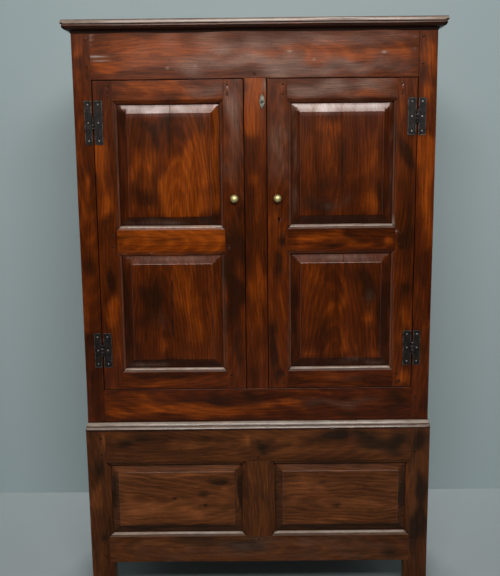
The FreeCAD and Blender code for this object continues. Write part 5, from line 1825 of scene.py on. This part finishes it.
@dataclass
class Hinges:
    """The H hinges: forged leaves, their pins, and hand-made nails with facetted heads."""

    workshop: Workshop
    leaf: Working = Working(Slot.IRON, Axis.Z, inner=None, cell_along=0.007, cell_across=0.007, edge=0.0008,
                            edge_steps=2, shortest_edge=0.005, wave_length=0.022, wave_height=0.0,
                            own_height=0.00016, smooth_angle=40.0)
    nail: Working = Working(Slot.NAIL, Axis.Y, inner=None, smooth_angle=25.0)
    facets: int = 6

    def build(self) -> None:
        """Makes the leaves, pins and nails."""
        owners = ("frame", "left_door", "right_door")
        for number, owner in enumerate(owners):
            self.workshop.work("%s_hinge_leaves" % owner, variant(self.leaf, 91 + number), "forged")
        dress_node("hinge_pins", Slot.IRON)
        for number, owner in enumerate(owners):
            random = np.random.default_rng(95 + number)
            self.workshop.remake("%s_hinge_nails" % owner, "forged", variant(self.nail, 95 + number),
                                 lambda shell, low, high: add_nail(shell, low, high, self.facets, random))


def add_nail(shell: bmesh.types.BMesh, low: Vector, high: Vector, facets: int,
             random: np.random.Generator) -> None:
    """Adds a nail that points into the cupboard, its head hammered to facets.

    Args:
        shell: The mesh to add it to.
        low: The lowest corner of its box.
        high: The highest corner.
        facets: How many facets the head has.
        random: Draws its unevenness.
    """
    radius, middle = (high.x - low.x) / 2, (low + high) / 2
    length, head = high.y - low.y, 0.0015
    uneven = random.uniform(0.86, 1.0, facets)
    profile = [(0.0, 0.0), (0.0015, 0.0009), (length - head, 0.0014), (length - head, radius),
               (length - head * 0.55, radius * 0.96), (length - head * 0.1, radius * 0.42), (length, 0.0)]
    add_turned(shell, profile, Vector((middle.x, high.y, middle.z)), OUTWARD, facets, uneven)


def dress_node(node: str, slot: Slot) -> None:
    """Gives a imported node, which stays as it is, one of the finishes.

    Args:
        node: The node's name.
        slot: The finish.
    """
    piece = frame["nodes"][node]
    piece.data.materials.clear()
    piece.data.materials.append(Finishes.get(slot))
    LOG.info("%s: kept, with finish %s", node, slot.value)


@dataclass
class Knobs:
    """The two turned brass knobs. Sizes are measured out from the door's face."""

    workshop: Workshop
    sides: int = 48
    ball_radius: float = 0.0125
    left_shank: float = 0.0040
    left_swell: float = 0.0012
    right_shank: float = 0.0030
    right_swell: float = 0.0005
    groove_step: int = 29
    working: Working = Working(Slot.BRASS, Axis.Y, inner=None, smooth_angle=35.0)

    def build(self) -> None:
        """Turns both knobs."""
        for node, shank, swell in (("left_knob", self.left_shank, self.left_swell),
                                   ("right_knob", self.right_shank, self.right_swell)):
            low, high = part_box(node)
            middle = (low + high) / 2
            shell = bmesh.new()
            origin = Vector((middle.x, high.y, middle.z))
            outline = self.outline(high.y - low.y, shank, self.ball_radius + swell)
            add_turned(shell, outline, origin, OUTWARD, self.sides)
            turn_outward(shell)
            self.workshop.finish(shell, node + "_turned", node, variant(self.working, 101))

    def outline(self, length: float, shank: float, ball: float) -> list[tuple[float, float]]:
        """Gives the outline from the shank's end to the front of the ball.

        Args:
            length: The knob's whole length.
            shank: The radius of its spindle or screw.
            ball: The radius of its ball.

        Returns:
            Places along the axis with their radii.
        """
        flange = length - 2 * self.ball_radius - 0.0025
        points = [(0.0, 0.0), (0.0, shank * 0.85), (0.0008, shank), (flange, shank), (flange, 0.0072),
                  (flange + 0.0004, 0.0078), (flange + 0.0011, 0.0077), (flange + 0.0015, 0.0068),
                  (flange + 0.0017, 0.0054), (flange + 0.0023, 0.0050), (flange + 0.0028, 0.0055),
                  (flange + 0.0031, 0.0064), (flange + 0.0036, 0.0066)]
        centre = length - ball
        for step in range(5, 37):
            angle = math.pi * step / 36
            along, radius = centre - math.cos(angle) * ball, math.sin(angle) * ball
            if step == self.groove_step:
                radius *= 0.985
            points.append((along, max(radius, 0.0) if step < 36 else 0.0))
        return points


@dataclass
class Fastenings:
    """The turn button with its screw, the latch, and the lock with its bolt."""

    workshop: Workshop
    iron: Working = Working(Slot.IRON, Axis.Z, inner=None, cell_along=0.010, cell_across=0.010, edge=0.0005,
                            edge_steps=2, shortest_edge=0.005, wave_length=0.03, wave_height=0.0,
                            own_height=0.00012, smooth_angle=40.0)
    screw_slot: float = 0.0009
    slot_depth: float = 0.0011
    slot_turn: float = 0.5

    def build(self) -> None:
        """Makes the fastenings."""
        button = variant(self.iron, 111, slot=Slot.BUTTON, cell_along=0.003, cell_across=0.003, edge=0.0007,
                         shortest_edge=0.0006, wave_length=0.012, own_height=0.00022)
        self.workshop.work("turn_button", button, "forged")
        for number, node in enumerate(("left_latch_tongue", "lock_case", "lock_bolt")):
            self.workshop.work(node, variant(self.iron, 113 + number), "forged")
        self.screw()

    def screw(self) -> None:
        """Turns the button's screw, with a slot filed across its head."""
        node = "turn_button_screw"
        low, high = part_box(node)
        middle, radius = (low + high) / 2, (high.x - low.x) / 2
        length, head, sides = high.y - low.y, 0.0024, 32
        shell = bmesh.new()
        profile = [(0.0, 0.0), (0.0, 0.0021), (length - head, 0.0022), (length - head, radius)]
        profile += [(length - head + head * math.sin(a), radius * math.cos(a))
                    for a in (0.2, 0.45, 0.7, 0.95, 1.2, 1.4)] + [(length, 0.0)]
        add_turned(shell, profile, Vector((middle.x, high.y, middle.z)), OUTWARD, sides)
        turn_outward(shell)
        normal = Vector((math.sin(self.slot_turn), 0.0, math.cos(self.slot_turn)))
        for offset in (-1.25, -0.75, 0.75, 1.25):
            cut(shell, middle + normal * (offset * self.screw_slot / 2), normal)
        for vert in shell.verts:
            off = abs((vert.co - middle).dot(normal))
            if off < self.screw_slot * 0.45 and vert.co.y < low.y + head * 0.93:
                vert.co.y = low.y + self.slot_depth
        working = variant(self.iron, 117, slot=Slot.BUTTON, smooth_angle=30.0)
        self.workshop.finish(shell, node + "_slotted", node, working)


@dataclass
class HangingRail:
    """The rail high inside the back, with its turned pegs."""

    workshop: Workshop
    sides: int = 28
    rail: Working = Working(Slot.INSIDE, Axis.X, inner=None)
    turned: Working = Working(Slot.INSIDE, Axis.Y, inner=None, smooth_angle=40.0)

    def build(self) -> None:
        """Works the rail and turns its pegs."""
        self.workshop.work("peg_rail", variant(self.rail, 121))
        self.workshop.remake("clothes_pegs", "turned", variant(self.turned, 123), self.peg)

    def peg(self, shell: bmesh.types.BMesh, low: Vector, high: Vector) -> None:
        """Adds one clothes peg in a box.

        Args:
            shell: The mesh to add it to.
            low: The box's lowest corner.
            high: The box's highest corner.
        """
        middle = (low + high) / 2
        origin = Vector((middle.x, high.y, middle.z))
        add_turned(shell, self.outline(high.y - low.y), origin, OUTWARD, self.sides)

    def outline(self, length: float) -> list[tuple[float, float]]:
        """Gives a clothes peg's outline, from its tenon to its head.

        Args:
            length: The peg's whole length.

        Returns:
            Places along the axis with their radii.
        """
        foot = [(0.0, 0.0), (0.0, 0.0052), (0.0158, 0.0054), (0.0162, 0.0074), (0.0180, 0.0077),
                (0.0200, 0.0072), (0.0212, 0.0066), (0.0228, 0.0070), (0.0240, 0.0069)]
        head = [(0.0200, 0.0054), (0.0186, 0.0062), (0.0175, 0.0058), (0.0150, 0.0096), (0.0130, 0.0126),
                (0.0110, 0.0130), (0.0080, 0.0122), (0.0045, 0.0096), (0.0018, 0.0058), (0.0, 0.0)]
        return foot + [(length * 0.55, 0.0063)] + [(length - back, radius) for back, radius in head]


@dataclass
class Studio:
    """The floor, the wall, the soft light and the camera."""

    floor_colour: Colour = (0.205, 0.241, 0.248)
    wall_colour: Colour = (0.345, 0.417, 0.430)
    wall_y: float = 0.66
    reach: float = 40.0
    softbox_size: tuple[float, float] = (2.3, 0.92)
    softbox_power: float = 138.0
    back_power: float = 185.0
    front_place: Point = (0.10, -3.35, 3.35)
    front_aim: Point = (0.0, -0.24, 1.30)
    back_place: Point = (0.0, 3.70, 3.55)
    back_aim: Point = (0.0, 0.26, 1.20)
    light_colour: Colour = (1.0, 0.985, 0.965)
    room_colour: Colour = (0.95, 0.99, 1.0)
    window: float = 2.3
    sides: float = 1.10
    behind: float = 0.40
    ambient: float = 0.03
    horizon: float = 0.20

    def build(self) -> None:
        """Sets up the studio."""
        self.floor_and_wall()
        self.lights()
        self.world()
        self.camera()
        bpy.context.scene.view_settings.view_transform = "Standard"

    def plain(self, name: str, colour: Colour, through_back: bool) -> bpy.types.Material:
        """Makes the matt finish of the floor or wall.

        Args:
            name: The material's name.
            colour: Its colour.
            through_back: Whether it can be looked through from behind.

        Returns:
            The material.
        """
        material = bpy.data.materials.new(name)
        material.use_nodes = True
        material.node_tree.nodes.clear()
        w = Wiring(material.node_tree)
        place = w.place()
        mottle = w.noise(w.scaled(place, (1.1, 1.1, 1.1)), 0.0, 3.0, 0.5)
        shade = tuple(part * 0.93 for part in colour)
        surface = w.add("ShaderNodeBsdfPrincipled",
                        {"Base Color": w.blend(mottle, shade, colour), "Roughness": 0.75})
        out = surface.outputs[0]
        if through_back:
            clear = w.add("ShaderNodeBsdfTransparent")
            back = w.add("ShaderNodeNewGeometry").outputs["Backfacing"]
            lit_through = w.math("MAXIMUM", back, w.add("ShaderNodeLightPath").outputs["Is Shadow Ray"])
            out = w.add("ShaderNodeMixShader", {0: lit_through, 1: out, 2: clear.outputs[0]}).outputs[0]
        w.add("ShaderNodeOutputMaterial", {"Surface": out})
        return material

    def floor_and_wall(self) -> None:
        """Makes the floor and the wall behind the press."""
        half = self.reach
        sheets = {
            "studio_floor": ([(-half, -half, 0), (half, -half, 0), (half, half, 0), (-half, half, 0)],
                             self.plain("floor_paint", self.floor_colour, False)),
            "studio_wall": ([(-half, self.wall_y, 0), (half, self.wall_y, 0), (half, self.wall_y, 6.0),
                             (-half, self.wall_y, 6.0)], self.plain("wall_paint", self.wall_colour, True)),
        }
        for name, (corners, material) in sheets.items():
            mesh = bpy.data.meshes.new(name)
            mesh.from_pydata([Vector(corner) for corner in corners], [], [(0, 1, 2, 3)])
            mesh.materials.append(material)
            sheet = bpy.data.objects.new(name, mesh)
            bpy.context.scene.collection.objects.link(sheet)

    def lights(self) -> None:
        """Hangs a softbox in front of the press and one behind it, both above it."""
        self.softbox("front_softbox", self.softbox_power, Vector(self.front_place), Vector(self.front_aim))
        self.softbox("back_softbox", self.back_power, Vector(self.back_place), Vector(self.back_aim))

    def softbox(self, name: str, power: float, place: Vector, aim: Vector) -> None:
        """Hangs one softbox.

        Args:
            name: Its name.
            power: Its power, in watts.
            place: Where its middle hangs.
            aim: What it points at.
        """
        lamp = bpy.data.lights.new(name, "AREA")
        lamp.shape = "RECTANGLE"
        lamp.size, lamp.size_y = self.softbox_size
        lamp.energy = power
        lamp.color = self.light_colour
        holder = bpy.data.objects.new(name, lamp)
        holder.location = place
        holder.rotation_euler = (place - aim).to_track_quat("Z", "Y").to_euler()
        bpy.context.scene.collection.objects.link(holder)

    def world(self) -> None:
        """Lights the room a little: from the sides, from behind, and from a window in front."""
        world = bpy.data.worlds.new("room")
        bpy.context.scene.world = world
        world.use_nodes = True
        world.node_tree.nodes.clear()
        w = Wiring(world.node_tree)
        way = w.add("ShaderNodeSeparateXYZ", {0: w.add("ShaderNodeTexCoord").outputs["Generated"]}).outputs
        height = w.times(w.step(way[2], 0.00, 0.13), w.step(way[2], 0.30, 0.42, 1.0, 0.0))
        width = w.times(w.step(w.math("ABSOLUTE", way[0]), 0.10, 0.27, 1.0, 0.0),
                       w.step(way[1], -0.92, -0.80, self.window, 0.0))
        window = w.times(height, width)
        aside = w.step(w.math("ABSOLUTE", way[0]), 0.45, 0.85, 0.0, self.sides)
        behind = w.step(way[1], 0.0, 0.5, 0.0, self.behind)
        room = w.math("MAXIMUM", aside, behind)
        room = w.plus(w.times(room, w.step(way[2], 0.16, 0.50)), self.ambient)
        horizon = w.times(w.step(w.math("ABSOLUTE", way[2]), 0.02, 0.16, 1.0, 0.0), self.horizon)
        strength = w.math("MAXIMUM", w.math("MAXIMUM", window, room), horizon)
        background = w.add("ShaderNodeBackground", {"Color": self.room_colour, "Strength": strength})
        w.add("ShaderNodeOutputWorld", {"Surface": background.outputs[0]})

    def camera(self) -> None:
        """Stands the camera where the picture is taken from."""
        data = bpy.data.cameras.new("camera")
        data.lens = VIEWPOINT.lens
        data.sensor_width = VIEWPOINT.film
        camera = bpy.data.objects.new("camera", data)
        camera.matrix_world = Matrix.Translation(VIEWPOINT.place) @ VIEWPOINT.turn()
        bpy.context.scene.collection.objects.link(camera)
        bpy.context.scene.camera = camera


def main() -> None:
    """Builds the press and the studio, one sub-assembly after the other."""
    logging.basicConfig(level=logging.INFO, format="%(message)s")
    workshop = Workshop()
    parts = (
        Studio(),
        UpperStage(workshop),
        Base(workshop),
        Mouldings(workshop),
        Door(workshop, "left", (-0.285, -0.295), 130),
        Door(workshop, "right", (0.291, 0.300), 150),
        Pegs(workshop),
        Hinges(workshop),
        Knobs(workshop),
        Fastenings(workshop),
        HangingRail(workshop),
    )
    for part in parts:
        part.build()
        LOG.info("%s is done", type(part).__name__)


if __name__ == "__main__":
    main()
